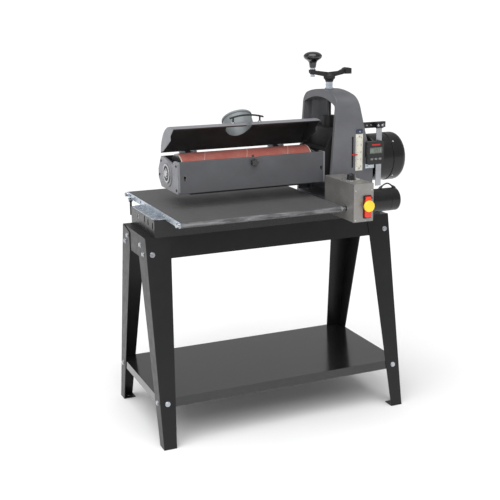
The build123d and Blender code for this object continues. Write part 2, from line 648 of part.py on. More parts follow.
DIAL_SHEET = 1.0
with BuildPart() as speed_dial:
    with BuildSketch(level(BOX_TOP)):
        with Locations((DIAL_X, DIAL_Y)):
            Circle(32)
            Circle(5, mode=Mode.SUBTRACT)
    extrude(amount=DIAL_SHEET)
save(speed_dial, "speed_dial")

with BuildPart() as speed_knob:
    knob_low = BOX_TOP + DIAL_SHEET + 0.6
    with BuildSketch(level(knob_low)):
        with Locations((DIAL_X, DIAL_Y)):
            Circle(15.5)
    extrude(amount=17, taper=6)
    top_edge = speed_knob.edges().filter_by(GeomType.CIRCLE).sort_by(Axis.Z)[-1]
    fillet(top_edge, 2)
    with BuildSketch(level(knob_low)):
        with Locations((DIAL_X, DIAL_Y)):
            with PolarLocations(16.2, 16):
                Circle(1.2)
    extrude(amount=13, mode=Mode.SUBTRACT)
    rod((DIAL_X, DIAL_Y, BOX_TOP - 14), (0, 0, 1), knob_low - BOX_TOP + 15, 8)
    pointer_z = knob_low + 17 - 0.8
    block((DIAL_X - 0.8, DIAL_X + 0.8), (DIAL_Y - 13, DIAL_Y - 4), (pointer_z, pointer_z + 2))
save(speed_knob, "speed_knob")

BEZEL_SHEET = 2.5
BEZEL_FRONT = BOX_FRONT - BEZEL_SHEET
SWITCH_BEHIND = 15.0
PADDLE_BACK = BEZEL_FRONT - 1.5
PADDLE_THICK = 7.0
PADDLE_FRONT = PADDLE_BACK - PADDLE_THICK
PIVOT_PIN = 3.0
HINGE_DROP = 5.0
PADDLE_PIVOT = (BEZEL_FRONT - 5.5, SWITCH_Z + PADDLE_HEIGHT / 2 - HINGE_DROP)
with BuildPart() as switch_body:
    with BuildSketch(facing(BOX_FRONT)):
        with Locations((SWITCH_X, SWITCH_Z)):
            RectangleRounded(BEZEL_WIDTH, BEZEL_HEIGHT, 2)
    extrude(amount=BEZEL_SHEET)
    with BuildSketch(facing(BOX_FRONT + SWITCH_BEHIND)):
        with Locations((SWITCH_X, SWITCH_Z)):
            Rectangle(BEZEL_WIDTH - 7, BEZEL_HEIGHT - 7)
    extrude(amount=SWITCH_BEHIND)
    pivot_y, pivot_z = PADDLE_PIVOT
    for side in (-1, 1):
        near, far = PADDLE_WIDTH / 2 + 0.5, BEZEL_WIDTH / 2 - 0.5
        ear = sorted((SWITCH_X + side * near, SWITCH_X + side * far))
        block(ear, (pivot_y - 3, BEZEL_FRONT), (pivot_z - 3.5, pivot_z + 3.5))
    start = (SWITCH_X - PADDLE_WIDTH / 2 - 1, pivot_y, pivot_z)
    rod(start, (1, 0, 0), PADDLE_WIDTH + 2, PIVOT_PIN)
save(switch_body, "switch_body")

KEY_Z = SWITCH_Z + 4
KEY_SLOT = 9.0
with BuildPart() as switch_paddle:
    with BuildSketch(facing(PADDLE_BACK)):
        with Locations((SWITCH_X, SWITCH_Z)):
            RectangleRounded(PADDLE_WIDTH, PADDLE_HEIGHT, 5)
    extrude(amount=PADDLE_THICK)
    front_rim = switch_paddle.faces().sort_by(Axis.Y)[0].edges()
    fillet(front_rim, 2)
    with BuildSketch(facing(PADDLE_BACK + 1)):
        with Locations((SWITCH_X, KEY_Z)):
            Rectangle(KEY_SLOT, KEY_SLOT)
    extrude(amount=PADDLE_THICK + 3, mode=Mode.SUBTRACT)
    pivot_y, pivot_z = PADDLE_PIVOT
    start = (SWITCH_X - PADDLE_WIDTH / 2 - 1, pivot_y, pivot_z)
    rod(start, (1, 0, 0), PADDLE_WIDTH + 2, PIVOT_PIN + 2 * JOURNAL_GAP, mode=Mode.SUBTRACT)
save(switch_paddle, "switch_paddle")

with BuildPart() as switch_key:
    key_back = PADDLE_FRONT - 0.4
    with BuildSketch(facing(key_back)):
        with Locations((SWITCH_X, KEY_Z)):
            Circle(19)
    extrude(amount=9)
    face_rim = switch_key.edges().filter_by(GeomType.CIRCLE).group_by(Axis.Y)[0]
    fillet(face_rim, 3.5)
    block(
        (SWITCH_X - KEY_SLOT / 2 + 0.5, SWITCH_X + KEY_SLOT / 2 - 0.5),
        (key_back - 1, PADDLE_BACK - 0.6),
        (KEY_Z - KEY_SLOT / 2 + 0.5, KEY_Z + KEY_SLOT / 2 - 0.5),
    )
save(switch_key, "switch_key")

# ==================================================================== column
COLUMN_LEFT_LOW, COLUMN_LEFT_TOP = 217.0, 245.0
COLUMN_RIGHT_LOW, COLUMN_RIGHT_TOP = 390.0, 321.0
FLARE_Z = 863.0
SLOT_X = 306.5
SLOT_WIDTH = 7.0
POINTER_Z = DRUM_Z + 35.5
SLOT_LOW = POINTER_Z - HEAD_DOWN - 5
SLOT_HIGH = POINTER_Z + HEAD_UP + 5
SCALE_LEFT, SCALE_RIGHT = 318.0, 346.0
SCALE_LOW, SCALE_HIGH = 856.0, 985.0
SCALE_SHEET = 1.2
SCALE_SCREWS = [((SCALE_LEFT + SCALE_RIGHT) / 2, z) for z in (SCALE_LOW + 9, SCALE_HIGH - 9)]
READOUT_BACK = COLUMN_FRONT - 3.0
PLATE_X = (READOUT_LEFT + 2, STRIP_LEFT - 8)
PLATE_Z = (READOUT_BOTTOM - 15, READOUT_BOTTOM + 28)
PLATE_SCREWS = [(READOUT_LEFT + 10, z) for z in (READOUT_BOTTOM - 7, READOUT_BOTTOM + 14)]

with BuildPart() as column:
    half = COLUMN_DEPTH / 2
    with BuildSketch(across(COLUMN_LEFT_LOW)):
        with BuildLine():
            Polyline((half, COLUMN_SHOULDER), (half, BASE_TOP), (-half, BASE_TOP),
                     (-half, COLUMN_SHOULDER))
            ThreePointArc((-half, COLUMN_SHOULDER), (0, COLUMN_TOP), (half, COLUMN_SHOULDER))
        make_face()
        with BuildLine():
            inner_z = COLUMN_SHOULDER - COLUMN_CROWN
            inner_low = BASE_TOP + COLUMN_FOOT_PLATE
            Polyline((LEG_INSIDE, inner_z), (LEG_INSIDE, inner_low), (-LEG_INSIDE, inner_low),
                     (-LEG_INSIDE, inner_z))
            crown = (0, COLUMN_TOP - COLUMN_CROWN)
            ThreePointArc((-LEG_INSIDE, inner_z), crown, (LEG_INSIDE, inner_z))
        make_face(mode=Mode.SUBTRACT)
    extrude(amount=COLUMN_RIGHT_LOW - COLUMN_LEFT_LOW)
    shoulders = column.edges().filter_by(Axis.X).filter_by(
        lambda e: abs(e.center().Z - COLUMN_SHOULDER) < 1
    )
    fillet(shoulders, 44)
    armpits = column.edges().filter_by(Axis.X).filter_by(
        lambda e: abs(e.center().Z - inner_z) < 1
    )
    fillet(armpits, 12)
    with BuildSketch(Plane.XZ):
        with BuildLine():
            Polyline(
                (COLUMN_LEFT_LOW, BASE_TOP),
                (COLUMN_RIGHT_LOW, BASE_TOP),
                (COLUMN_RIGHT_LOW, FLARE_Z),
                (COLUMN_RIGHT_TOP, COLUMN_TOP + 1),
                (COLUMN_LEFT_TOP, COLUMN_TOP + 1),
                close=True,
            )
        make_face()
    extrude(amount=half + 1, both=True, mode=Mode.INTERSECT)
    for side in (-1, 1):
        way = sorted((side * LEG_INSIDE, side * (LEG_INSIDE - WAY_DEPTH)))
        block(
            (SCREW_X - WAY_WIDTH / 2, SCREW_X + WAY_WIDTH / 2), way, (inner_low, inner_z + 4)
        )
    outline = column.faces().sort_by(Axis.Y)[0].edges().filter_by(Axis.X, reverse=True)
    fillet(outline, 3)
    start = (SCREW_X, 0, COLUMN_TOP - COLUMN_CROWN - 1)
    bore = SCREW + 2 * JOURNAL_GAP
    rod(start, (0, 0, 1), COLUMN_CROWN + 2, bore, mode=Mode.SUBTRACT)
    with BuildSketch(facing(COLUMN_FRONT + COLUMN_LEG + 1)):
        with Locations((SLOT_X, (SLOT_LOW + SLOT_HIGH) / 2)):
            SlotOverall(SLOT_HIGH - SLOT_LOW, SLOT_WIDTH, rotation=90)
    extrude(amount=COLUMN_LEG + 2, mode=Mode.SUBTRACT)
    with BuildSketch(facing(COLUMN_FRONT + 8)):
        with Locations(*SCALE_SCREWS, *PLATE_SCREWS):
            Circle(SMALL_SCREW / 2 + 0.2)
    extrude(amount=9, mode=Mode.SUBTRACT)
    for x, y in COLUMN_BOLTS:
        hole = COLUMN_BOLT + 2 * BOLT_CLEARANCE
        rod((x, y, BASE_TOP - 1), (0, 0, 1), COLUMN_FOOT_PLATE + 2, hole, mode=Mode.SUBTRACT)
save(column, "column")

with BuildPart() as depth_scale:
    block(
        (SCALE_LEFT, SCALE_RIGHT), (COLUMN_FRONT - SCALE_SHEET, COLUMN_FRONT),
        (SCALE_LOW, SCALE_HIGH),
    )
    with BuildSketch(facing(COLUMN_FRONT + 1)):
        with Locations(*SCALE_SCREWS):
            Circle(SMALL_SCREW / 2 + 0.2)
    extrude(amount=4, mode=Mode.SUBTRACT)
save(depth_scale, "depth_scale")

with BuildPart() as machine_bolts:
    for sx in (-1, 1):
        for sy in (-1, 1):
            place = (sx * BASE_BOLT_X, sy * BASE_BOLT_Y, STAND_HEIGHT + BASE_WALL)
            bolt(place, (0, 0, 1), BASE_BOLT, BASE_WALL + STAND_SHEET, 13)
        start = (sx * (HALF_BASE - 10), *END_SOCKET)
        rod(start, (sx, 0, 0), 9, 16)
        hexagon((sx * (HALF_BASE - 5), *END_SOCKET), (sx, 0, 0), 5, 7, mode=Mode.SUBTRACT)
    for x, y in COLUMN_BOLTS:
        place = (x, y, BASE_TOP + COLUMN_FOOT_PLATE)
        bolt(place, (0, 0, 1), COLUMN_BOLT, COLUMN_FOOT_PLATE + BASE_WALL, 17)
    for x, y in BRACKET_BOLTS:
        place = (x, y, BASE_TOP + BRACKET_SHEET)
        bolt(place, (0, 0, 1), BRACKET_BOLT, BRACKET_SHEET + BASE_WALL, 10)
    for side, face in ((-1, WEB_LEFT), (1, WEB_RIGHT)):
        for y in bed_bolts:
            place = (face + side * BRACKET_SHEET, y, bed_bolt_z)
            bolt(place, (side, 0, 0), 5, BRACKET_SHEET + BED_WALL - 0.5, 8, nut=False)
    caps = [(-1, CAP_LEFT, -ROLLER_Y), (-1, CAP_LEFT, ROLLER_Y), (1, CAP_RIGHT, ROLLER_Y)]
    for side, x, y in caps:
        hexagon((x, y, ROLLER_Z), (side, 0, 0), 5, 13)
save(machine_bolts, "machine_bolts")

# --------------------------------------------------------- lead screw and crank
NUT_FLATS = 24.0
HUB_Z = COLUMN_TOP + 25
with BuildPart() as lead_screw:
    rod((SCREW_X, 0, SCREW_BOTTOM), (0, 0, 1), HUB_Z + 20 - SCREW_BOTTOM, SCREW)
    collar_top = COLUMN_TOP - COLUMN_CROWN - 0.3
    rod((SCREW_X, 0, collar_top - 5), (0, 0, 1), 5, 24)
save(lead_screw, "lead_screw")

ARM_END_X = SCREW_X - 77
WEIGHT_END_X = SCREW_X + 81
KNOB_X = SCREW_X - 66
KNOB_LOW = HUB_Z + 51
SPINDLE = 10.0
with BuildPart() as crank_arm:
    with BuildSketch(Plane(origin=(SCREW_X, 0, 0), x_dir=(1, 0, 0), z_dir=(0, -1, 0))):
        with BuildLine():
            Polyline((0, HUB_Z), (13.5, HUB_Z), (15, HUB_Z + 6), (20.5, HUB_Z + 12),
                     (20.5, HUB_Z + 21), (14, HUB_Z + 31), (0, HUB_Z + 33), close=True)
        make_face()
    revolve(axis=Axis((SCREW_X, 0, 0), (0, 0, 1)))
    with BuildSketch(facing(9)):
        with BuildLine():
            Polyline(
                (ARM_END_X, HUB_Z + 34), (ARM_END_X + 8, HUB_Z + 29),
                (SCREW_X - 19, HUB_Z + 19), (SCREW_X + 20, HUB_Z + 19),
                (WEIGHT_END_X - 26, HUB_Z + 26), (WEIGHT_END_X, HUB_Z + 26),
                (WEIGHT_END_X, HUB_Z + 45), (WEIGHT_END_X - 14, HUB_Z + 48),
                (SCREW_X + 38, HUB_Z + 36), (SCREW_X, HUB_Z + 33),
                (ARM_END_X + 20, HUB_Z + 41), (ARM_END_X, HUB_Z + 44),
                close=True,
            )
        make_face()
    extrude(amount=18)
    with BuildSketch(facing(15)):
        with BuildLine():
            Polyline(
                (WEIGHT_END_X - 24, HUB_Z + 26), (WEIGHT_END_X, HUB_Z + 26),
                (WEIGHT_END_X, HUB_Z + 45), (WEIGHT_END_X - 14, HUB_Z + 48),
                (WEIGHT_END_X - 24, HUB_Z + 44), close=True,
            )
        make_face()
    extrude(amount=30)
    rod((KNOB_X, 0, HUB_Z + 28), (0, 0, 1), 17, 20)
    rod((KNOB_X, 0, HUB_Z + 20), (0, 0, 1), 30, SPINDLE, mode=Mode.SUBTRACT)
    rod((SCREW_X, 0, HUB_Z - 1), (0, 0, 1), 21, SCREW, mode=Mode.SUBTRACT)
save(crank_arm, "crank_arm")

with BuildPart() as crank_hardware:
    hexagon((SCREW_X, 0, COLUMN_TOP + 3.4), (0, 0, 1), 10, NUT_FLATS)
    hexagon((SCREW_X, 0, COLUMN_TOP + 14.5), (0, 0, 1), 10.5, NUT_FLATS)
    rod((SCREW_X, 0, COLUMN_TOP + 0.4), (0, 0, 1), 3, 32)
    rod((SCREW_X, 0, COLUMN_TOP + 13.4), (0, 0, 1), 1.1, 26)
    rod((SCREW_X, 0, COLUMN_TOP - 1), (0, 0, 1), 30, SCREW, mode=Mode.SUBTRACT)
    rod((KNOB_X, 0, HUB_Z + 24), (0, 0, 1), KNOB_LOW + 38 - HUB_Z - 24, SPINDLE)
    rod((KNOB_X, 0, HUB_Z + 45), (0, 0, 1), KNOB_LOW - HUB_Z - 45.5, 17)
    hexagon((KNOB_X, 0, HUB_Z + 19.5), (0, 0, 1), 6, 15)
    rod((KNOB_X, 0, HUB_Z + 19.5), (0, 0, 1), 5, SPINDLE)
save(crank_hardware, "crank_hardware")

with BuildPart() as crank_knob:
    with BuildSketch(Plane(origin=(KNOB_X, 0, 0), x_dir=(1, 0, 0), z_dir=(0, -1, 0))):
        with BuildLine():
            base = (11, KNOB_LOW)
            waist = (13, KNOB_LOW + 14)
            flare = (32, KNOB_LOW + 36)
            shoulder = (31, KNOB_LOW + 44)
            Polyline((0, KNOB_LOW), base, waist)
            Spline(waist, flare, tangents=((0.15, 1), (0.35, 1)))
            ThreePointArc(flare, (32.6, KNOB_LOW + 40), shoulder)
            Spline(shoulder, (0, KNOB_LOW + 55), tangents=((-0.6, 0.8), (-1, 0)))
            Line((0, KNOB_LOW + 55), (0, KNOB_LOW))
        make_face()
    revolve(axis=Axis((KNOB_X, 0, 0), (0, 0, 1)))
    start = (KNOB_X, 0, KNOB_LOW - 1)
    rod(start, (0, 0, 1), 40.5, SPINDLE + 2 * JOURNAL_GAP, mode=Mode.SUBTRACT)
save(crank_knob, "crank_knob")

# ====================================================================== head
BEARING = 62.0
CARRIAGE_LEFT, CARRIAGE_RIGHT = 250.0, 320.0
CARRIAGE_BOTTOM = DRUM_Z - 42
ARM_HALF = 95.0
TUBE = 110.0
MOTOR_FACE = 150.0
FLANGE_THICK = 8.0

with BuildPart() as head_carriage:
    slide_half = LEG_INSIDE - WAY_GAP
    slide_z = (CARRIAGE_BOTTOM, CARRIAGE_TOP)
    block((CARRIAGE_LEFT, CARRIAGE_RIGHT), (-slide_half, slide_half), slide_z)
    for side in (-1, 1):
        way_inner = LEG_INSIDE - WAY_DEPTH - WAY_GAP
        slot = sorted((side * way_inner, side * (slide_half + 1)))
        half_way = WAY_WIDTH / 2 + WAY_GAP
        way_x = (SCREW_X - half_way, SCREW_X + half_way)
        block(way_x, slot, (CARRIAGE_BOTTOM - 1, CARRIAGE_TOP + 1), mode=Mode.SUBTRACT)
        pocket = sorted((side * 34, side * 88))
        block((CARRIAGE_RIGHT - 40, CARRIAGE_RIGHT + 1), pocket, (DRUM_Z + 62, CARRIAGE_TOP - 12),
              mode=Mode.SUBTRACT)
    arm_z = (HOUSING_BOTTOM + 8, HOUSING_TOP + 2)
    block((HOUSING_RIGHT, CARRIAGE_LEFT), (-ARM_HALF, ARM_HALF), arm_z)
    with BuildSketch(facing(ARM_HALF)):
        with BuildLine():
            Polyline((HOUSING_RIGHT + 6, arm_z[1]), (CARRIAGE_LEFT, arm_z[1]),
                     (CARRIAGE_LEFT, CARRIAGE_TOP), (CARRIAGE_LEFT - 6, CARRIAGE_TOP - 16),
                     close=True)
        make_face()
    extrude(amount=2 * ARM_HALF)
    block((HOUSING_RIGHT, CARRIAGE_LEFT), (-ARM_HALF + 9, ARM_HALF - 9),
          (arm_z[1], CARRIAGE_TOP), mode=Mode.SUBTRACT)
    tube_end = MOTOR_FLANGE_X - FLANGE_THICK
    rod((CARRIAGE_RIGHT, 0, DRUM_Z), (1, 0, 0), tube_end - CARRIAGE_RIGHT, TUBE)
    rod((tube_end, 0, DRUM_Z), (1, 0, 0), FLANGE_THICK, MOTOR_FACE)
    for y in (-40, 40):
        block((CARRIAGE_RIGHT, tube_end), (y - 5, y + 5), (DRUM_Z, DRUM_Z + 62))
    rod((SCREW_X, 0, CARRIAGE_TOP), (0, 0, 1), LEAD_NUT_TOP - CARRIAGE_TOP, 46)
    bore = SCREW + 2 * LEAD_NUT_GAP
    cavity_low = SCREW_BOTTOM - HEAD_UP - 3
    rod((SCREW_X, 0, cavity_low), (0, 0, 1), CARRIAGE_TOP - cavity_low, 24, mode=Mode.SUBTRACT)
    rod((SCREW_X, 0, CARRIAGE_TOP - 1), (0, 0, 1), 60, bore, mode=Mode.SUBTRACT)
    start = (HOUSING_RIGHT - 1, 0, DRUM_Z)
    rod(start, (1, 0, 0), MOTOR_FLANGE_X - HOUSING_RIGHT + 2, SHAFT + 6, mode=Mode.SUBTRACT)
    rod(start, (1, 0, 0), 21, BEARING, mode=Mode.SUBTRACT)
save(head_carriage, "head_carriage")

NOTCH = [(-68.0, 1.0), (-56.0, -13.0), (42.0, 1.0)]     # from the housing's upper edge
PLATE_CHAMFER = 29.0


def plate_outline():
    """Corners of a housing end plate in (Y, Z), from the lower front round."""
    return [
        (HOUSING_FRONT, HOUSING_BOTTOM),
        (HOUSING_REAR - PLATE_CHAMFER, HOUSING_BOTTOM),
        (HOUSING_REAR, HOUSING_BOTTOM + 30),
        (HOUSING_REAR, DRUM_Z + 3),
        (HOUSING_REAR - 32, HOUSING_TOP),
        (42, HOUSING_TOP),
        (NOTCH[1][0], HOUSING_TOP + NOTCH[1][1]),
        (-68, HOUSING_TOP),
        (HOUSING_FRONT, HOUSING_TOP),
    ]


SLOT_RING = 39.0
with BuildPart() as end_plate_left:
    with BuildSketch(across(HOUSING_LEFT)):
        with BuildLine():
            Polyline(*plate_outline(), close=True)
        make_face()
        with Locations((0, DRUM_Z)):
            Circle(BEARING / 2, mode=Mode.SUBTRACT)
    extrude(amount=END_PLATE_LEFT_THICK)
    fillet(end_plate_left.edges().filter_by(Axis.X).filter_by(
        lambda e: e.center().Y < HOUSING_FRONT + 1 or e.center().Y > HOUSING_REAR - 1), 7)
    with BuildSketch(across(HOUSING_LEFT)):
        with Locations((0, DRUM_Z)):
            Circle(46)
            Circle(BEARING / 2, mode=Mode.SUBTRACT)
    extrude(amount=-2.5)
    with BuildSketch(across(HOUSING_LEFT - 3)):
        with Locations((0, DRUM_Z)):
            for start in (20, 140, 260):
                ring_arc = CenterArc((0, DRUM_Z), SLOT_RING, start, 70, mode=Mode.PRIVATE)
                with Locations((0, -DRUM_Z)):
                    SlotArc(ring_arc, 5)
    extrude(amount=6, mode=Mode.SUBTRACT)
save(end_plate_left, "end_plate_left")

with BuildPart() as end_plate_right:
    with BuildSketch(across(PANEL_RIGHT)):
        with BuildLine():
            Polyline(*plate_outline(), close=True)
        make_face()
        with Locations((0, DRUM_Z)):
            Circle(SHAFT / 2 + 4, mode=Mode.SUBTRACT)
    extrude(amount=END_PLATE_RIGHT_THICK)
save(end_plate_right, "end_plate_right")

LATCH_X = HOUSING_MIDDLE
LATCH_Z = HOUSING_TOP - 18
KEYHOLES = [(PANEL_LEFT + 17, DRUM_Z - 2), (PANEL_RIGHT - 8, DRUM_Z - 3)]
LIP = 12.0
with BuildPart() as front_panel:
    front = (HOUSING_FRONT, HOUSING_FRONT + PANEL_SHEET)
    panel_x = (PANEL_LEFT, PANEL_RIGHT)
    block(panel_x, front, (HOUSING_BOTTOM, HOUSING_TOP))
    block(panel_x, (HOUSING_FRONT, HOUSING_FRONT + LIP), (HOUSING_TOP - PANEL_SHEET, HOUSING_TOP))
    block(panel_x, (HOUSING_FRONT, HOUSING_FRONT + 8), (HOUSING_BOTTOM, HOUSING_BOTTOM + PANEL_SHEET))
    bends = front_panel.edges().filter_by(Axis.X).group_by(Axis.Y)[0]
    fillet(bends, 2.2)
    block((LATCH_X - 7, LATCH_X + 26), (front[1], HOUSING_FRONT + LIP + 1),
          (HOUSING_TOP - 5, HOUSING_TOP + 1), mode=Mode.SUBTRACT)
    with BuildSketch(facing(front[1] + 1)):
        with Locations((LATCH_X, LATCH_Z), *KEYHOLES):
            Circle(4.5)
        for x, z in KEYHOLES:
            with Locations((x, z - 6)):
                Rectangle(4, 10)
    extrude(amount=PANEL_SHEET + 2, mode=Mode.SUBTRACT)
save(front_panel, "front_panel")

with BuildPart() as rear_panel:
    with BuildSketch(across(PANEL_LEFT)):
        with BuildLine():
            corners = plate_outline()
            skin = [corners[4], corners[3], corners[2]]
            inner = [(y - 1.3 * PANEL_SHEET, z) for y, z in reversed(skin)]
            Polyline(*skin, *inner, close=True)
        make_face()
    extrude(amount=PANEL_RIGHT - PANEL_LEFT)
save(rear_panel, "rear_panel")

BEARING_FLANGE = 66.0
with BuildPart() as drum_bearings:
    rod((HOUSING_LEFT - 2.5, 0, DRUM_Z), (1, 0, 0), 18, BEARING)
    rod((HOUSING_LEFT - 5.5, 0, DRUM_Z), (1, 0, 0), 3, BEARING_FLANGE)
    rod((HOUSING_RIGHT, 0, DRUM_Z), (1, 0, 0), 20, BEARING)
    start = (HOUSING_LEFT - 20, 0, DRUM_Z)
    rod(start, (1, 0, 0), 700, SHAFT + 2 * JOURNAL_GAP, mode=Mode.SUBTRACT)
save(drum_bearings, "drum_bearings")

with BuildPart() as drum_shaft:
    rod((HOUSING_LEFT - 9, 0, DRUM_Z), (1, 0, 0), MOTOR_BODY_X + 60 - HOUSING_LEFT, SHAFT)
    ends = drum_shaft.edges().filter_by(GeomType.CIRCLE)
    chamfer(ends, 1)
save(drum_shaft, "drum_shaft")

with BuildPart() as drum:
    bare = DRUM_DIAMETER - 2 * ABRASIVE_THICKNESS
    length = DRUM_RIGHT - DRUM_LEFT
    rod((DRUM_LEFT, 0, DRUM_Z), (1, 0, 0), length, bare)
    start = (DRUM_LEFT + 10, 0, DRUM_Z)
    rod(start, (1, 0, 0), length - 20, bare - 2 * DRUM_WALL, mode=Mode.SUBTRACT)
    rod((DRUM_LEFT - 1, 0, DRUM_Z), (1, 0, 0), length + 2, SHAFT, mode=Mode.SUBTRACT)
save(drum, "drum")

with BuildPart() as abrasive_wrap:
    with BuildSketch(across(DRUM_LEFT)):
        with Locations((0, DRUM_Z)):
            Circle(DRUM_RADIUS)
            Circle(DRUM_RADIUS - ABRASIVE_THICKNESS, mode=Mode.SUBTRACT)
    extrude(amount=DRUM_RIGHT - DRUM_LEFT)
save(abrasive_wrap, "abrasive_wrap")

SHAFT_POCKET = MOTOR_BODY_X + 64
with BuildPart() as drum_motor:
    start = (MOTOR_FLANGE_X, 0, DRUM_Z)
    rod(start, (1, 0, 0), MOTOR_BODY_X - MOTOR_FLANGE_X, MOTOR_FACE)
    start = (MOTOR_BODY_X, 0, DRUM_Z)
    rod(start, (1, 0, 0), MOTOR_SEAM_X - MOTOR_BODY_X, MOTOR_DIAMETER - 4)
    rim = drum_motor.edges().filter_by(GeomType.CIRCLE).filter_by(
        lambda e: abs(e.center().X - MOTOR_BODY_X) < 1 and e.radius > MOTOR_FACE / 2 + 1)
    fillet(rim, 10)
    start = (MOTOR_FLANGE_X - 1, 0, DRUM_Z)
    rod(start, (1, 0, 0), SHAFT_POCKET - MOTOR_FLANGE_X, SHAFT + 2, mode=Mode.SUBTRACT)
save(drum_motor, "drum_motor")

with BuildPart() as motor_fan_cover:
    start = (MOTOR_SEAM_X, 0, DRUM_Z)
    rod(start, (1, 0, 0), MOTOR_END_X - MOTOR_SEAM_X, MOTOR_DIAMETER)
    far_rim = motor_fan_cover.edges().filter_by(GeomType.CIRCLE).sort_by(Axis.X)[-1]
    fillet(far_rim, 26)
    lining = motor_fan_cover.faces().sort_by(Axis.X)[0]
    offset(amount=-3, openings=lining)
save(motor_fan_cover, "motor_fan_cover")

# ------------------------------------------------------------ pressure rollers
PRESSURE_Y = 82.0
PRESSURE_DIAMETER = 20.0
PRESSURE_Z = DRUM_Z - DRUM_RADIUS - 0.3 + PRESSURE_DIAMETER / 2
PRESSURE_LIFT = 8.0
CARRIER_X = (DRUM_LEFT + 10, DRUM_RIGHT - 9)
CARRIER_Z = (PRESSURE_Z + 27, PRESSURE_Z + 35)
GUIDES_X = (DRUM_LEFT + 50, DRUM_RIGHT - 53)
PERCH_Z = CARRIER_Z[1] + 18
GUIDE = 6.0


def pressure_roller(side):
    """A rubber-covered hold-down roller with its two pins."""
    left, right = CARRIER_X[0] + 7, CARRIER_X[1] - 7
    with BuildPart() as roller:
        start = (left, side * PRESSURE_Y, PRESSURE_Z)
        rod(start, (1, 0, 0), right - left, PRESSURE_DIAMETER)
        start = (left - 8, side * PRESSURE_Y, PRESSURE_Z)
        rod(start, (1, 0, 0), right - left + 16, 8)
    return roller


def pressure_carrier(side):
    """The sprung bar that holds one hold-down roller between two arms."""
    y = side * PRESSURE_Y
    with BuildPart() as carrier:
        block(CARRIER_X, (y - 7, y + 7), CARRIER_Z)
        for near, far in ((CARRIER_X[0], CARRIER_X[0] + 6), (CARRIER_X[1] - 6, CARRIER_X[1])):
            block((near, far), (y - 7, y + 7), (PRESSURE_Z - 7, CARRIER_Z[1]))
        start = (CARRIER_X[0] - 1, y, PRESSURE_Z)
        rod(start, (1, 0, 0), CARRIER_X[1] - CARRIER_X[0] + 2, 8 + 2 * JOURNAL_GAP,
            mode=Mode.SUBTRACT)
        for x in GUIDES_X:
            rod((x, y, CARRIER_Z[0] - 1), (0, 0, 1), 10, GUIDE + 0.8, mode=Mode.SUBTRACT)
    return carrier


save(pressure_roller(-1), "pressure_roller_front")
save(pressure_roller(1), "pressure_roller_rear")
save(pressure_carrier(-1), "pressure_carrier_front")
save(pressure_carrier(1), "pressure_carrier_rear")

with BuildPart() as roller_guides:
    for side in (-1, 1):
        y = side * PRESSURE_Y
        perch = sorted((side * (PRESSURE_Y - 9), side * (PRESSURE_Y + 9)))
        block((PANEL_LEFT, PANEL_RIGHT), perch, (PERCH_Z, PERCH_Z + 4))
        for x in GUIDES_X:
            low = CARRIER_Z[0] - 6
            rod((x, y, low), (0, 0, 1), PERCH_Z + 8 - low, GUIDE)
            rod((x, y, low), (0, 0, 1), 5.7, 11)
save(roller_guides, "roller_guides")

with BuildPart() as pressure_springs:
    for side in (-1, 1):
        for x in GUIDES_X:
            low = CARRIER_Z[1]
            rod((x, side * PRESSURE_Y, low), (0, 0, 1), PERCH_Z - low, 12)
            rod((x, side * PRESSURE_Y, low), (0, 0, 1), PERCH_Z - low, 7, mode=Mode.SUBTRACT)
save(pressure_springs, "pressure_springs")

# ------------------------------------------------------- pointer and readout
with BuildPart() as depth_pointer:
    pointer_z = (POINTER_Z - 2, POINTER_Z + 2)
    stem_front = COLUMN_FRONT - SCALE_SHEET - 2.2
    block((SLOT_X - 2, SLOT_X + 2), (stem_front, -slide_half), pointer_z)
    block((SLOT_X - 5, SCALE_LEFT + 7), (stem_front, stem_front + 1.2), pointer_z)
save(depth_pointer, "depth_pointer")

BAR_Y = (-slide_half + 4, -slide_half + 16)
BAR_Z = (CARRIAGE_TOP, CARRIAGE_TOP + 20)
STRIP_SHEET = 2.0
STRIP_Y = COLUMN_FRONT + 0.5 - STRIP_SHEET
with BuildPart() as readout_bar:
    block((SCREW_X + WAY_WIDTH / 2 + 4, STRIP_RIGHT + 26), BAR_Y, BAR_Z)
    block((STRIP_LEFT + 2, STRIP_RIGHT - 2), (STRIP_Y + STRIP_SHEET, BAR_Y[0]),
          (BAR_Z[0] + 2, BAR_Z[1] - 2))
save(readout_bar, "readout_bar")

with BuildPart() as readout_strip:
    block((STRIP_LEFT, STRIP_RIGHT), (STRIP_Y, STRIP_Y + STRIP_SHEET), (STRIP_BOTTOM, BAR_Z[1] - 1))
save(readout_strip, "readout_strip")

with BuildPart() as readout_bracket:
    block(PLATE_X, (READOUT_BACK, COLUMN_FRONT), PLATE_Z)
    with BuildSketch(facing(COLUMN_FRONT + 1)):
        with Locations(*PLATE_SCREWS):
            Circle(SMALL_SCREW / 2 + 0.2)
    extrude(amount=5, mode=Mode.SUBTRACT)
save(readout_bracket, "readout_bracket")

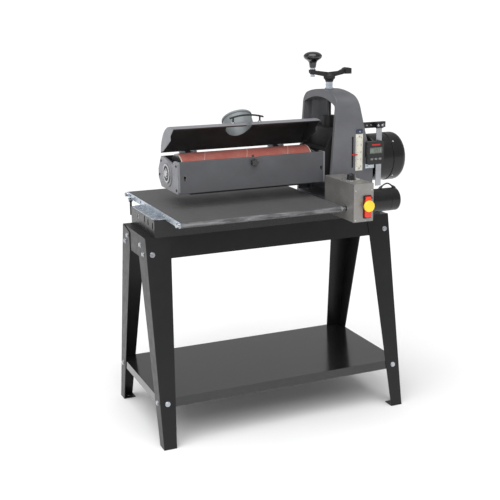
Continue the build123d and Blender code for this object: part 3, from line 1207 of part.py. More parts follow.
BUTTONS = [(READOUT_LEFT + 16 + 16.5 * i, READOUT_BOTTOM + 19) for i in range(3)]
BUTTON_SIZE = (11.0, 7.0)
BUTTON_PROUD = 1.6
READOUT_FRONT = READOUT_BACK - READOUT_DEPTH
with BuildPart() as readout_display:
    block((READOUT_LEFT, READOUT_RIGHT), (READOUT_FRONT, READOUT_BACK),
          (READOUT_BOTTOM, READOUT_TOP))
    fillet(readout_display.edges().filter_by(Axis.Y), 4)
    block((READOUT_LEFT - 1, READOUT_LEFT + 20), (READOUT_BACK - 4, READOUT_BACK + 1),
          (READOUT_BOTTOM - 1, READOUT_BOTTOM + 24), mode=Mode.SUBTRACT)
    with BuildSketch(facing(READOUT_FRONT + 1)):
        with Locations(((READOUT_LEFT + READOUT_RIGHT) / 2, READOUT_TOP - 31)):
            Rectangle(46, 17)
    extrude(amount=2, mode=Mode.SUBTRACT)
    with BuildSketch(facing(READOUT_FRONT + 7)):
        with Locations(*BUTTONS):
            Rectangle(BUTTON_SIZE[0] + 0.8, BUTTON_SIZE[1] + 0.8)
    extrude(amount=8, mode=Mode.SUBTRACT)
save(readout_display, "readout_display")

for number, (x, z) in enumerate(BUTTONS, start=1):
    with BuildPart() as button:
        with BuildSketch(facing(READOUT_FRONT + 7 - BUTTON_TRAVEL - 0.5)):
            with Locations((x, z)):
                RectangleRounded(*BUTTON_SIZE, 2)
        extrude(amount=7 - BUTTON_TRAVEL - 0.5 + BUTTON_PROUD)
        fillet(button.faces().sort_by(Axis.Y)[0].edges(), 0.5)
    save(button, f"readout_button_{number}")

with BuildPart() as panel_screws:
    seats = [(x, BOX_FRONT, z) for x, z in BOX_SCREWS]
    seats += [(x, COLUMN_FRONT - SCALE_SHEET, z) for x, z in SCALE_SCREWS]
    seats += [(x, READOUT_BACK, z) for x, z in PLATE_SCREWS]
    for seat in seats:
        rod(seat, (0, -1, 0), 2, 6)
        rod(seat, (0, 1, 0), 6, SMALL_SCREW)
save(panel_screws, "panel_screws")

# ================================================================ dust cover
# The cover is drawn shut, from its hinge line, on planes turned to its rest pose.
OPEN = radians(COVER_OPEN)


def cover_point(x, back, up):
    """A point given from the hinge line of the shut cover, at the rest opening."""
    y = back * cos(OPEN) + up * sin(OPEN)
    z = -back * sin(OPEN) + up * cos(OPEN)
    return (x, COVER_HINGE_Y + y, HINGE_Z + z)


def cover_across(x):
    """The cover's own section plane: local x to the rear, local y upwards."""
    origin = (x, COVER_HINGE_Y, HINGE_Z)
    return Plane(origin=origin, x_dir=(0, cos(OPEN), -sin(OPEN)), z_dir=(1, 0, 0))


def cover_level(x, back, up):
    """A plane across the cover's rise: local x along the drum, local y to the rear."""
    origin = cover_point(x, back, up)
    return Plane(origin=origin, x_dir=(1, 0, 0), z_dir=(0, sin(OPEN), cos(OPEN)))


COVER_LEFT = HOUSING_LEFT
COVER_RIGHT = HOUSING_RIGHT - 3
COVER_LENGTH = COVER_RIGHT - COVER_LEFT
REAR_EDGE = (2.0, 6.5)
CREST = (-COVER_CHORD / 2, COVER_RISE)
FRONT_EDGE = (-COVER_CHORD, -2.0)
INSIDE_REAR = (REAR_EDGE[0] - COVER_SHEET, REAR_EDGE[1])
INSIDE_CREST = (CREST[0], CREST[1] - COVER_SHEET)
INSIDE_FRONT = (FRONT_EDGE[0] + COVER_SHEET, FRONT_EDGE[1])
TONGUE = [(-126.0, -3.5), (-117.0, -15.5), (-26.0, -3.0)]
HINGES_X = [(-266.0, -202.0), (68.0, 130.0)]
SLOT_BACK = -153.0
HANDLE_BACK = -149.0

with BuildPart() as dust_cover:
    with BuildSketch(cover_across(COVER_LEFT)):
        with BuildLine():
            ThreePointArc(REAR_EDGE, CREST, FRONT_EDGE)
            Line(FRONT_EDGE, INSIDE_FRONT)
            ThreePointArc(INSIDE_FRONT, INSIDE_CREST, INSIDE_REAR)
            Line(INSIDE_REAR, REAR_EDGE)
        make_face()
    extrude(amount=COVER_LENGTH)
    for x in (COVER_LEFT, COVER_RIGHT - COVER_SHEET):
        with BuildSketch(cover_across(x)):
            with BuildLine():
                ThreePointArc(REAR_EDGE, CREST, FRONT_EDGE)
                Polyline(FRONT_EDGE, *TONGUE, (-6, 6.5), REAR_EDGE)
            make_face()
        extrude(amount=COVER_SHEET)
    with BuildSketch(cover_across(COVER_LEFT)):
        with BuildLine():
            rim_back, rim_up = FRONT_EDGE
            Polyline((rim_back, rim_up), (rim_back + 9, rim_up),
                     (rim_back + 9, rim_up + COVER_SHEET), (rim_back + 0.5, rim_up + COVER_SHEET),
                     close=True)
        make_face()
    extrude(amount=COVER_LENGTH)
    with BuildSketch(cover_level(0, 0, -6)):
        with Locations((LATCH_X, rim_back + 6)):
            Rectangle(20, 9)
    extrude(amount=12, mode=Mode.SUBTRACT)
    with BuildSketch(cover_level(0, 0, 0)):
        with Locations((LATCH_X + 8, SLOT_BACK)):
            Rectangle(15, 9)
        with Locations((LATCH_X, CREST[0])):
            Circle(PORT_OUTSIDE / 2 - PORT_WALL)
    extrude(amount=COVER_RISE + 6, mode=Mode.SUBTRACT)
    for near, far in HINGES_X:
        third = (far - near) / 3
        middle = (near + third + 0.5, far - third - 0.5)
        start = (middle[0], COVER_HINGE_Y, HINGE_Z)
        rod(start, (1, 0, 0), middle[1] - middle[0], KNUCKLE)
        with BuildSketch(cover_across(middle[0])):
            with Locations((REAR_EDGE[0] - COVER_SHEET / 2, 5.6)):
                Rectangle(COVER_SHEET, 5)
        extrude(amount=middle[1] - middle[0])
        rod((near - 1, COVER_HINGE_Y, HINGE_Z), (1, 0, 0), far - near + 2,
            HINGE_PIN + 2 * JOURNAL_GAP, mode=Mode.SUBTRACT)
save(dust_cover, "dust_cover")

with BuildPart() as cover_hinges:
    for near, far in HINGES_X:
        third = (far - near) / 3
        rod((near, COVER_HINGE_Y, HINGE_Z), (1, 0, 0), far - near, HINGE_PIN)
        for a, b in ((near, near + third), (far - third, far)):
            rod((a, COVER_HINGE_Y, HINGE_Z), (1, 0, 0), b - a, KNUCKLE)
            with BuildSketch(across(a)):
                with BuildLine():
                    top_y = HOUSING_REAR - 32 - 1.3 * PANEL_SHEET
                    run = 16.0
                    slope = (HOUSING_TOP - DRUM_Z - 3) / 32
                    low = HOUSING_TOP - run * slope
                    Polyline((top_y, HINGE_Z), (top_y, HOUSING_TOP), (top_y + run, low),
                             (top_y + run - 3, low), (top_y - 2.5, HOUSING_TOP - 1),
                             (top_y - 2.5, HINGE_Z), close=True)
                make_face()
            extrude(amount=b - a)
save(cover_hinges, "cover_hinges")

with BuildPart() as dust_port:
    port_low = 8.0
    with BuildSketch(cover_level(0, 0, port_low)):
        with Locations((LATCH_X, CREST[0])):
            Circle(PORT_OUTSIDE / 2)
    extrude(amount=CREST[1] + PORT_HEIGHT - port_low)
    with BuildSketch(cover_level(0, 0, CREST[1] + PORT_HEIGHT - 8)):
        with Locations((LATCH_X, CREST[0])):
            Circle(PORT_OUTSIDE / 2 + 3)
    extrude(amount=8)
    fillet(dust_port.edges().filter_by(GeomType.CIRCLE).filter_by(
        lambda e: e.radius > PORT_OUTSIDE / 2 + 2), 2.5)
    with BuildSketch(cover_across(LATCH_X - PORT_OUTSIDE)):
        with BuildLine():
            ThreePointArc(REAR_EDGE, CREST, FRONT_EDGE)
            Polyline(FRONT_EDGE, (FRONT_EDGE[0], -20), (REAR_EDGE[0], -20), REAR_EDGE)
        make_face()
    extrude(amount=2 * PORT_OUTSIDE, mode=Mode.SUBTRACT)
    with BuildSketch(cover_level(0, 0, 0)):
        with Locations((LATCH_X, CREST[0])):
            Circle(PORT_OUTSIDE / 2 - PORT_WALL)
    extrude(amount=CREST[1] + PORT_HEIGHT + 5, mode=Mode.SUBTRACT)
save(dust_port, "dust_port")


def crown_height(back):
    """Height of the cover's outer skin above the hinge line, and its arc's centre."""
    (x1, y1), (x2, y2), (x3, y3) = REAR_EDGE, CREST, FRONT_EDGE
    d = 2 * (x1 * (y2 - y3) + x2 * (y3 - y1) + x3 * (y1 - y2))
    s1, s2, s3 = x1**2 + y1**2, x2**2 + y2**2, x3**2 + y3**2
    cx = (s1 * (y2 - y3) + s2 * (y3 - y1) + s3 * (y1 - y2)) / d
    cy = (s1 * (x3 - x2) + s2 * (x1 - x3) + s3 * (x2 - x1)) / d
    radius = sqrt((x1 - cx) ** 2 + (y1 - cy) ** 2)
    return cy + sqrt(radius**2 - (back - cx) ** 2), (cx, cy)


foot_up, arc_centre = crown_height(HANDLE_BACK)
normal = Vector(HANDLE_BACK - arc_centre[0], foot_up - arc_centre[1]).normalized()
handle_out = (
    0,
    normal.X * cos(OPEN) + normal.Y * sin(OPEN),
    -normal.X * sin(OPEN) + normal.Y * cos(OPEN),
)
with BuildPart() as cover_handle:
    foot = cover_point(LATCH_X, HANDLE_BACK, foot_up)
    handle_plane = Plane(origin=foot, x_dir=(1, 0, 0), z_dir=Vector(1, 0, 0).cross(Vector(*handle_out)))
    with BuildLine(handle_plane) as bar_line:
        end = HANDLE_SPAN / 2 + 13
        ThreePointArc((-end, HANDLE_RISE - 1), (0, HANDLE_RISE + 8), (end, HANDLE_RISE - 1))
    with BuildSketch(Plane(origin=bar_line.line @ 0, z_dir=bar_line.line % 0)):
        Circle(HANDLE_ROD / 2)
    sweep(path=bar_line.line)
    for side in (-1, 1):
        offset_x = side * HANDLE_SPAN / 2
        start = (foot[0] + offset_x, foot[1], foot[2])
        rod(start, handle_out, HANDLE_RISE + 1, HANDLE_ROD)
save(cover_handle, "cover_handle")

with BuildPart() as latch_knob:
    knob_back = HOUSING_FRONT - 0.5
    rod((LATCH_X, knob_back, LATCH_Z), (0, -1, 0), 9, 15)
    with BuildSketch(facing(knob_back - 4)):
        with Locations((LATCH_X, LATCH_Z)):
            Circle(9)
            with PolarLocations(9, 5):
                Circle(4)
    extrude(amount=11)
    fillet(latch_knob.faces().sort_by(Axis.Y)[0].edges(), 1.2)
    rod((LATCH_X, knob_back, LATCH_Z), (0, 1, 0), 6.5, 7)
    tab_back = HOUSING_FRONT + PANEL_SHEET + 1
    block((LATCH_X - 4, LATCH_X + 4), (tab_back, tab_back + 2.2), (LATCH_Z - 5, LATCH_Z + 25))
save(latch_knob, "latch_knob")
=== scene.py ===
"""Drum sander on an open steel stand: stage, finishes and the detail the frame leaves out."""

import json
from math import atan2, cos, pi, radians, sin, sqrt

import bmesh
import bpy
from bpy.props import FloatProperty, FloatVectorProperty, IntProperty, PointerProperty
from mathutils import Euler, Matrix, Vector


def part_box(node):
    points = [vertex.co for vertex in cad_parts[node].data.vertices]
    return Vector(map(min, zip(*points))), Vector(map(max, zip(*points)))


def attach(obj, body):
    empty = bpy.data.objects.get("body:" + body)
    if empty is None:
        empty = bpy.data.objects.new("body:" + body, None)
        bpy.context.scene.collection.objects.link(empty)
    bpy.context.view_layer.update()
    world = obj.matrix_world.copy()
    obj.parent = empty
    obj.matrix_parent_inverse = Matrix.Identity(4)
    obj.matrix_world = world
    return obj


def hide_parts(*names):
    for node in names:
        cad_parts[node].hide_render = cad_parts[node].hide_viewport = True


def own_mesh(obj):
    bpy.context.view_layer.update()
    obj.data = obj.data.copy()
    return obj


bl_info = {
    "name": "Drum sander",
    "version": (1, 0, 0),
    "blender": (4, 5, 0),
    "location": "View3D > Sidebar > Sander",
    "description": "Finishes and fittings for a drum sander on its stand",
    "category": "Object",
}

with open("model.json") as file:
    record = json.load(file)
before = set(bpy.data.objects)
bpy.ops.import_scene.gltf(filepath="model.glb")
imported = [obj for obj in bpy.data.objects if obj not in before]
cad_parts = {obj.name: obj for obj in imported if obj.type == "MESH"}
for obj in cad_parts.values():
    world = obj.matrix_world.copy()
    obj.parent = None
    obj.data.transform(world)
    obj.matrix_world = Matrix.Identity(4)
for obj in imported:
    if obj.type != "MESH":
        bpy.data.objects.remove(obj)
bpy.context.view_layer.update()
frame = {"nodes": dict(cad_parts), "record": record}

SCREW_LOW, SCREW_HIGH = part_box("lead_screw")
SPRING_LOW, SPRING_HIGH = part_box("pressure_springs")
SCALE_LOW, SCALE_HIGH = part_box("depth_scale")
DIAL_LOW, DIAL_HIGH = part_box("speed_dial")
BOX_LOW, BOX_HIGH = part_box("control_box")
SHOW_LOW, SHOW_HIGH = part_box("readout_display")
STRIP_LOW, STRIP_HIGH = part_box("readout_strip")
BAR_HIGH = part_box("readout_bar")[1]
FAN_LOW, FAN_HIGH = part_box("motor_fan_cover")
MOTOR_LOW, MOTOR_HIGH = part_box("drum_motor")
GEAR_LOW, GEAR_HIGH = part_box("conveyor_motor")
WRAP_LOW, WRAP_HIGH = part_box("abrasive_wrap")
PLATE_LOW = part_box("end_plate_left")[0]
COLUMN_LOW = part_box("column")[0]
LEGS_LOW, LEGS_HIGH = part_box("stand_legs_front")
BELT_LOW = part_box("conveyor_belt")[0]


def joint(name):
    """The frame's record of one joint."""
    return next(j for j in frame["record"]["behaviour"]["joints"] if j["name"] == name)


DRUM_AXIS = Vector(joint("drum_spin")["pos_m"])
COVER_HINGE = Vector(joint("cover_hinge")["pos_m"])
COVER_OPEN = radians(37)
# The shut cover's two edges and its crown between them, as (back, up) from the hinge line.
COVER_SKIN = (0.002, 0.0065), (-0.084, 0.042), (-0.168, -0.002)
HANDLE_BACK = -0.149  # the handle, in the same terms
INCH = 0.0254


class SanderSizes(bpy.types.PropertyGroup):
    """Sizes of the small fittings."""

    thread_pitch: FloatProperty(
        name="Thread pitch", description="Rise of the lead screw's thread for each turn",
        default=0.0015875, min=0.001, max=0.006, unit="LENGTH",
    )
    thread_depth: FloatProperty(
        name="Thread depth", description="Depth of the lead screw's thread",
        default=0.0006, min=0.0001, max=0.002, unit="LENGTH",
    )
    spring_wire: FloatProperty(
        name="Spring wire", description="Thickness of the hold-down springs' wire",
        default=0.0016, min=0.0008, max=0.003, unit="LENGTH",
    )
    spring_turns: IntProperty(
        name="Spring turns", description="Turns in each hold-down spring", default=5, min=3, max=12
    )
    scale_step: FloatProperty(
        name="Scale step", description="Distance between ticks on the depth scale",
        default=0.003175, min=0.001, max=0.01, unit="LENGTH",
    )
    dial_marks: IntProperty(
        name="Dial marks", description="Marks round the belt speed dial", default=11, min=5, max=21
    )
    fan_ribs: IntProperty(
        name="Fan ribs", description="Ribs across the motor's end grille", default=18, min=6, max=36
    )


def colour_prop(name, words, red, green, blue):
    """A colour a user may change, given from 0 to 1 for each of its parts."""
    return FloatVectorProperty(
        name=name, description=words, subtype="COLOR", size=4, min=0, max=1,
        default=(red, green, blue, 1),
    )


class SanderColours(bpy.types.PropertyGroup):
    """Colours of the main finishes."""

    stand: colour_prop("Stand", "Satin powder coat of the stand", 0.0105, 0.0105, 0.0115)
    casting: colour_prop("Column", "Paint of the column", 0.122, 0.124, 0.136)
    panels: colour_prop("Panels", "Paint of the housing's panels", 0.086, 0.088, 0.096)
    plates: colour_prop("End plates", "Paint of the end plates and cover", 0.225, 0.227, 0.245)
    inside: colour_prop("Cover inside", "Lining of the dust cover", 0.026, 0.026, 0.026)
    black: colour_prop("Black parts", "Black castings and motors", 0.0095, 0.0095, 0.0105)
    box: colour_prop("Control box", "Brushed sheet of the control box", 0.29, 0.282, 0.27)
    belt: colour_prop("Belt", "Grit cloth of the conveyor belt", 0.047, 0.047, 0.049)
    abrasive: colour_prop("Abrasive", "Grit cloth on the drum", 0.50, 0.135, 0.105)
    zinc: colour_prop("Zinc", "Zinc plate of the brackets", 0.54, 0.60, 0.67)
    port: colour_prop("Dust port", "Moulded dust port", 0.21, 0.232, 0.24)
    scale: colour_prop("Scale", "Printed depth scale", 0.78, 0.76, 0.66)
    paddle: colour_prop("Paddle", "Stop paddle of the switch", 0.82, 0.035, 0.012)
    key: colour_prop("Key", "Safety key of the switch", 0.93, 0.66, 0.04)


def sizes():
    return bpy.context.scene.sander_sizes


def colours():
    return bpy.context.scene.sander_colours


# ------------------------------------------------------------------ finishes


class Finish:
    """One procedural material and short ways to add the nodes it needs."""

    def __init__(self, name):
        self.mat = bpy.data.materials.new(name)
        self.mat.use_nodes = True
        self.tree = self.mat.node_tree
        self.shader = self.tree.nodes["Principled BSDF"]
        self.place = self.add("ShaderNodeTexCoord").outputs["Object"]

    def add(self, kind, inputs=None, **settings):
        node = self.tree.nodes.new(kind)
        for key, value in settings.items():
            setattr(node, key, value)
        for key, value in (inputs or {}).items():
            self.set(node, key, value)
        return node

    def set(self, node, key, value):
        if isinstance(value, bpy.types.NodeSocket):
            self.tree.links.new(value, node.inputs[key])
        else:
            node.inputs[key].default_value = value

    def spec(self, **values):
        """Plain values on the shader's own sockets."""
        for key, value in values.items():
            self.set(self.shader, key.replace("_", " "), value)

    def stretch(self, scale, turn=(0, 0, 0)):
        """Object coordinates, scaled and turned."""
        inputs = {"Vector": self.place, "Scale": scale, "Rotation": turn}
        return self.add("ShaderNodeMapping", inputs).outputs["Vector"]

    def noise(self, scale, detail=3.0, rough=0.6, where=None):
        inputs = {
            "Vector": where or self.place, "Scale": scale, "Detail": detail, "Roughness": rough,
        }
        return self.add("ShaderNodeTexNoise", inputs).outputs["Fac"]

    def cells(self, scale, where=None):
        inputs = {"Vector": where or self.place, "Scale": scale}
        return self.add("ShaderNodeTexVoronoi", inputs).outputs["Distance"]

    def math(self, operation, a, b=0.0, c=0.0):
        return self.add("ShaderNodeMath", {0: a, 1: b, 2: c}, operation=operation).outputs[0]

    def span(self, value, low, high, to_low=0.0, to_high=1.0):
        inputs = {0: value, 1: low, 2: high, 3: to_low, 4: to_high}
        return self.add("ShaderNodeMapRange", inputs).outputs[0]

    def mix(self, fac, a, b, blend="MIX"):
        node = self.add("ShaderNodeMix", data_type="RGBA", blend_type=blend)
        self.set(node, 0, fac)
        self.set(node, 6, a)
        self.set(node, 7, b)
        return node.outputs[2]

    def axis(self, index):
        """One of the object coordinates."""
        return self.add("ShaderNodeSeparateXYZ", {0: self.place}).outputs[index]

    def worn(self, amount, radius=0.0012):
        """A mask of edges for painted highlight and wear, from the difference between the true and
        the rounded normal.
        """
        soft = self.add("ShaderNodeBevel", {"Radius": radius}, samples=4).outputs[0]
        true = self.add("ShaderNodeNewGeometry").outputs["True Normal"]
        dot = self.add("ShaderNodeVectorMath", {0: soft, 1: true}, operation="DOT_PRODUCT")
        return self.span(dot.outputs["Value"], 0.98, 0.75, 0.0, amount)

    def relief(self, height, depth, strength=1.0, soften=0.0009):
        """Bump from a height, over corners softened by a small radius."""
        inputs = {"Height": height, "Distance": depth, "Strength": strength}
        if soften:
            inputs["Normal"] = self.add("ShaderNodeBevel", {"Radius": soften}, samples=4).outputs[0]
        self.set(self.shader, "Normal", self.add("ShaderNodeBump", inputs).outputs[0])

    def base(self, colour):
        self.set(self.shader, "Base Color", colour)

    def rough(self, value, low, high):
        self.set(self.shader, "Roughness", self.span(value, 0.3, 0.7, low, high))


def shade(colour, factor):
    """The same colour, lighter or darker."""
    return tuple(min(1.0, c * factor) for c in colour[:3]) + (1.0,)


def painted(name, colour, rough=(0.34, 0.46), grain=700, depth=0.00004, edge=0.3, coat=0.0,
            shine=0.5):
    """Powder coat or paint: orange peel, faint clouding, and edges painted paler as highlight and
    wear.
    """
    f = Finish(name)
    cloud = f.noise(7, 5)
    body = f.mix(f.span(cloud, 0.35, 0.65), shade(colour, 0.86), shade(colour, 1.12))
    dust = f.span(f.noise(90, 6, 0.7), 0.58, 0.8, 0.0, 0.18)
    body = f.mix(dust, body, shade(colour, 1.7))
    # Edges painted paler: partly a painted highlight along the edges, partly rubbed wear.
    f.base(f.mix(f.worn(edge), body, shade(colour, 3.2)))
    f.rough(f.noise(40, 4), *rough)
    f.relief(f.noise(grain, 2), depth)
    f.spec(Coat_Weight=coat, Coat_Roughness=0.12, Specular_IOR_Level=shine)
    return f.mat


def cast(name, colour, rough=(0.42, 0.6), edge=0.35):
    """A painted casting: pebbled skin under the paint."""
    f = Finish(name)
    lumps = f.math("MULTIPLY_ADD", f.noise(260, 5, 0.7), 0.6, f.noise(60, 3))
    body = f.mix(f.span(f.noise(12, 5), 0.3, 0.7), shade(colour, 0.8), shade(colour, 1.2))
    # Edges painted paler: partly a painted highlight along the edges, partly rubbed wear.
    f.base(f.mix(f.worn(edge), body, shade(colour, 3.0)))
    f.rough(lumps, *rough)
    f.relief(lumps, 0.00018, soften=0.0014)
    return f.mat


def metal(name, colour, rough=(0.22, 0.38), lines=None, cloud=0.12, depth=0.00002, shine=1.0):
    """Bare or plated metal: fine lines along a direction and slight clouding."""
    f = Finish(name)
    where = f.stretch(lines) if lines else None
    fine = f.noise(60 if lines else 420, 4, 0.6, where)
    spots = f.noise(24, 5, 0.65)
    tone = f.mix(f.span(spots, 0.35, 0.65), shade(colour, 1 - cloud), shade(colour, 1 + cloud))
    f.base(f.mix(f.span(fine, 0.45, 0.75, 0.0, 0.35), tone, shade(colour, 0.6)))
    f.rough(f.math("MULTIPLY_ADD", fine, 0.5, f.math("MULTIPLY", spots, 0.5)), *rough)
    f.relief(fine, depth, soften=0.0006)
    f.spec(Metallic=shine)
    return f.mat


def moulded(name, colour, rough=(0.3, 0.42), grain=1400, depth=0.00002, coat=0.0):
    """Moulded plastic or rubber."""
    f = Finish(name)
    tone = f.mix(f.span(f.noise(30, 4), 0.3, 0.7), shade(colour, 0.9), shade(colour, 1.08))
    f.base(tone)
    f.rough(f.noise(120, 4), *rough)
    f.relief(f.noise(grain, 2), depth)
    f.spec(Coat_Weight=coat, Coat_Roughness=0.04)
    return f.mat


def zinc_plate(name, colour):
    """Bright zinc with the bluish and straw clouds of its passivation."""
    f = Finish(name)
    cloud = f.noise(26, 5, 0.65)
    blue = f.mix(f.span(cloud, 0.35, 0.65), shade(colour, 0.78), shade(colour, 1.25))
    straw = f.span(f.noise(14, 4), 0.52, 0.72, 0.0, 0.35)
    f.base(f.mix(straw, blue, (0.62, 0.58, 0.46, 1)))
    f.rough(f.noise(200, 4), 0.22, 0.42)
    f.relief(f.noise(500, 3), 0.00002)
    f.spec(Metallic=0.9)
    return f.mat


def grit_belt(name, colour):
    """Charcoal grit cloth: packed grains, paler lanes where stock has run, and a painted highlight
    with wear along the front lip.
    """
    f = Finish(name)
    grains = f.cells(900)
    lanes = f.noise(9, 4, 0.6, f.stretch((1, 0.08, 1)))
    dust = f.noise(16, 6, 0.7)
    tone = f.mix(f.span(grains, 0.1, 0.7), shade(colour, 1.35), shade(colour, 0.7))
    tone = f.mix(f.span(lanes, 0.4, 0.7, 0.0, 0.28), tone, shade(colour, 1.9))
    # Painted highlight, partly wear: a pale streaked band along the belt's front lip, where light
    # catches its bend.
    rub_and_sheen = f.span(f.noise(30, 5, 0.7, f.stretch((0.35, 3, 3))), 0.42, 0.62)
    lip_highlight_and_wear = f.span(f.axis(1), BELT_LOW.y + 0.0012, BELT_LOW.y + 0.0065, 0.75, 0.0)
    tone = f.mix(f.math("MULTIPLY", lip_highlight_and_wear, rub_and_sheen), tone, shade(colour, 6))
    f.base(f.mix(f.span(dust, 0.5, 0.8, 0.0, 0.25), tone, shade(colour, 1.6)))
    f.rough(lanes, 0.52, 0.7)
    f.relief(f.math("SUBTRACT", 1.0, grains), 0.0002, soften=0.0)
    f.spec(Specular_IOR_Level=0.6, Sheen_Weight=0.12)
    return f.mat


def grit_wrap(name, colour):
    """Red grit cloth wound round the drum: the spiral joint and frayed pale ends."""
    f = Finish(name)
    split = f.add("ShaderNodeSeparateXYZ", {0: f.place})
    along, across, up = split.outputs
    rise, depth = f.math("SUBTRACT", up, DRUM_AXIS.z), f.math("SUBTRACT", across, DRUM_AXIS.y)
    turn = f.math("ARCTAN2", rise, depth)
    pitch = 0.155
    winding = f.math("MULTIPLY_ADD", along, 1 / pitch, f.math("MULTIPLY", turn, 1 / (2 * pi)))
    seam = f.math("PINGPONG", winding, 0.5)
    joint_line = f.span(seam, 0.0, 0.010, 0.75, 0.0)
    left_end = f.span(along, WRAP_LOW.x + 0.0015, WRAP_LOW.x + 0.004, 0.9, 0.0)
    right_end = f.span(along, WRAP_HIGH.x - 0.004, WRAP_HIGH.x - 0.0015, 0.0, 0.9)
    pale = f.math("MAXIMUM", joint_line, f.math("MAXIMUM", left_end, right_end))
    grains = f.cells(1100)
    tone = f.mix(f.span(grains, 0.1, 0.75), shade(colour, 1.25), shade(colour, 0.72))
    dusty = f.span(f.noise(14, 6, 0.7), 0.45, 0.75, 0.0, 0.4)
    tone = f.mix(dusty, tone, (0.62, 0.36, 0.30, 1))
    f.base(f.mix(pale, tone, (0.80, 0.66, 0.58, 1)))
    f.rough(f.noise(200, 3), 0.6, 0.85)
    f.relief(f.math("SUBTRACT", 1.0, grains), 0.0002, soften=0.0)
    f.spec(Sheen_Weight=0.1)
    return f.mat


def cover_paint(name, outside, inside):
    """The dust cover: painted outside, black inside, told apart by distance from its arc's axis."""
    f = Finish(name)
    split = f.add("ShaderNodeSeparateXYZ", {0: f.place})
    along, across, up = split.outputs
    centre, radius = cover_arc()
    dy = f.math("SUBTRACT", across, centre.y)
    dz = f.math("SUBTRACT", up, centre.z)
    reach = f.math("SQRT", f.math("ADD", f.math("MULTIPLY", dy, dy), f.math("MULTIPLY", dz, dz)))
    low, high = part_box("dust_cover")
    skin = f.span(reach, radius - 0.0010, radius - 0.0006)
    left = f.span(along, low.x + 0.0006, low.x + 0.0010, 1.0, 0.0)
    right = f.span(along, high.x - 0.0010, high.x - 0.0006, 0.0, 1.0)
    outer = f.math("MAXIMUM", skin, f.math("MAXIMUM", left, right))
    paint = f.mix(f.span(f.noise(9, 5), 0.35, 0.65), shade(outside, 0.9), shade(outside, 1.1))
    f.base(f.mix(outer, f.mix(f.span(f.noise(20, 5), 0.4, 0.8), inside, shade(inside, 1.8)), paint))
    f.rough(f.noise(40, 4), 0.36, 0.5)
    f.relief(f.noise(700, 2), 0.00004, soften=0.0005)
    return f.mat


def cover_point(back, up):
    """(Y, Z) of a point given from the hinge line of the shut cover, at its rest opening."""
    y = COVER_HINGE.y + back * cos(COVER_OPEN) + up * sin(COVER_OPEN)
    z = COVER_HINGE.z - back * sin(COVER_OPEN) + up * cos(COVER_OPEN)
    return y, z


def cover_arc():
    """Centre and radius of the cover's outer skin, through its two edges and its crown."""
    (x1, y1), (x2, y2), (x3, y3) = COVER_SKIN
    d = 2 * (x1 * (y2 - y3) + x2 * (y3 - y1) + x3 * (y1 - y2))
    s1, s2, s3 = x1 * x1 + y1 * y1, x2 * x2 + y2 * y2, x3 * x3 + y3 * y3
    cx = (s1 * (y2 - y3) + s2 * (y3 - y1) + s3 * (y1 - y2)) / d
    cy = (s1 * (x3 - x2) + s2 * (x1 - x3) + s3 * (x2 - x1)) / d
    y, z = cover_point(cx, cy)
    return Vector((0, y, z)), sqrt((x1 - cx) ** 2 + (y1 - cy) ** 2)


def arc_height(back):
    """Height of the cover's skin above its hinge line, in the shut cover's terms."""
    centre, radius = cover_arc()
    dy, dz = centre.y - COVER_HINGE.y, centre.z - COVER_HINGE.z
    cx = dy * cos(COVER_OPEN) - dz * sin(COVER_OPEN)
    cy = dy * sin(COVER_OPEN) + dz * cos(COVER_OPEN)
    return cy + sqrt(radius ** 2 - (back - cx) ** 2)


def handle_way():
    """The direction in which the cover's handle stands out, square to its skin."""
    y, z = cover_point(HANDLE_BACK, arc_height(HANDLE_BACK))
    return (Vector((0, y, z)) - cover_arc()[0]).normalized()


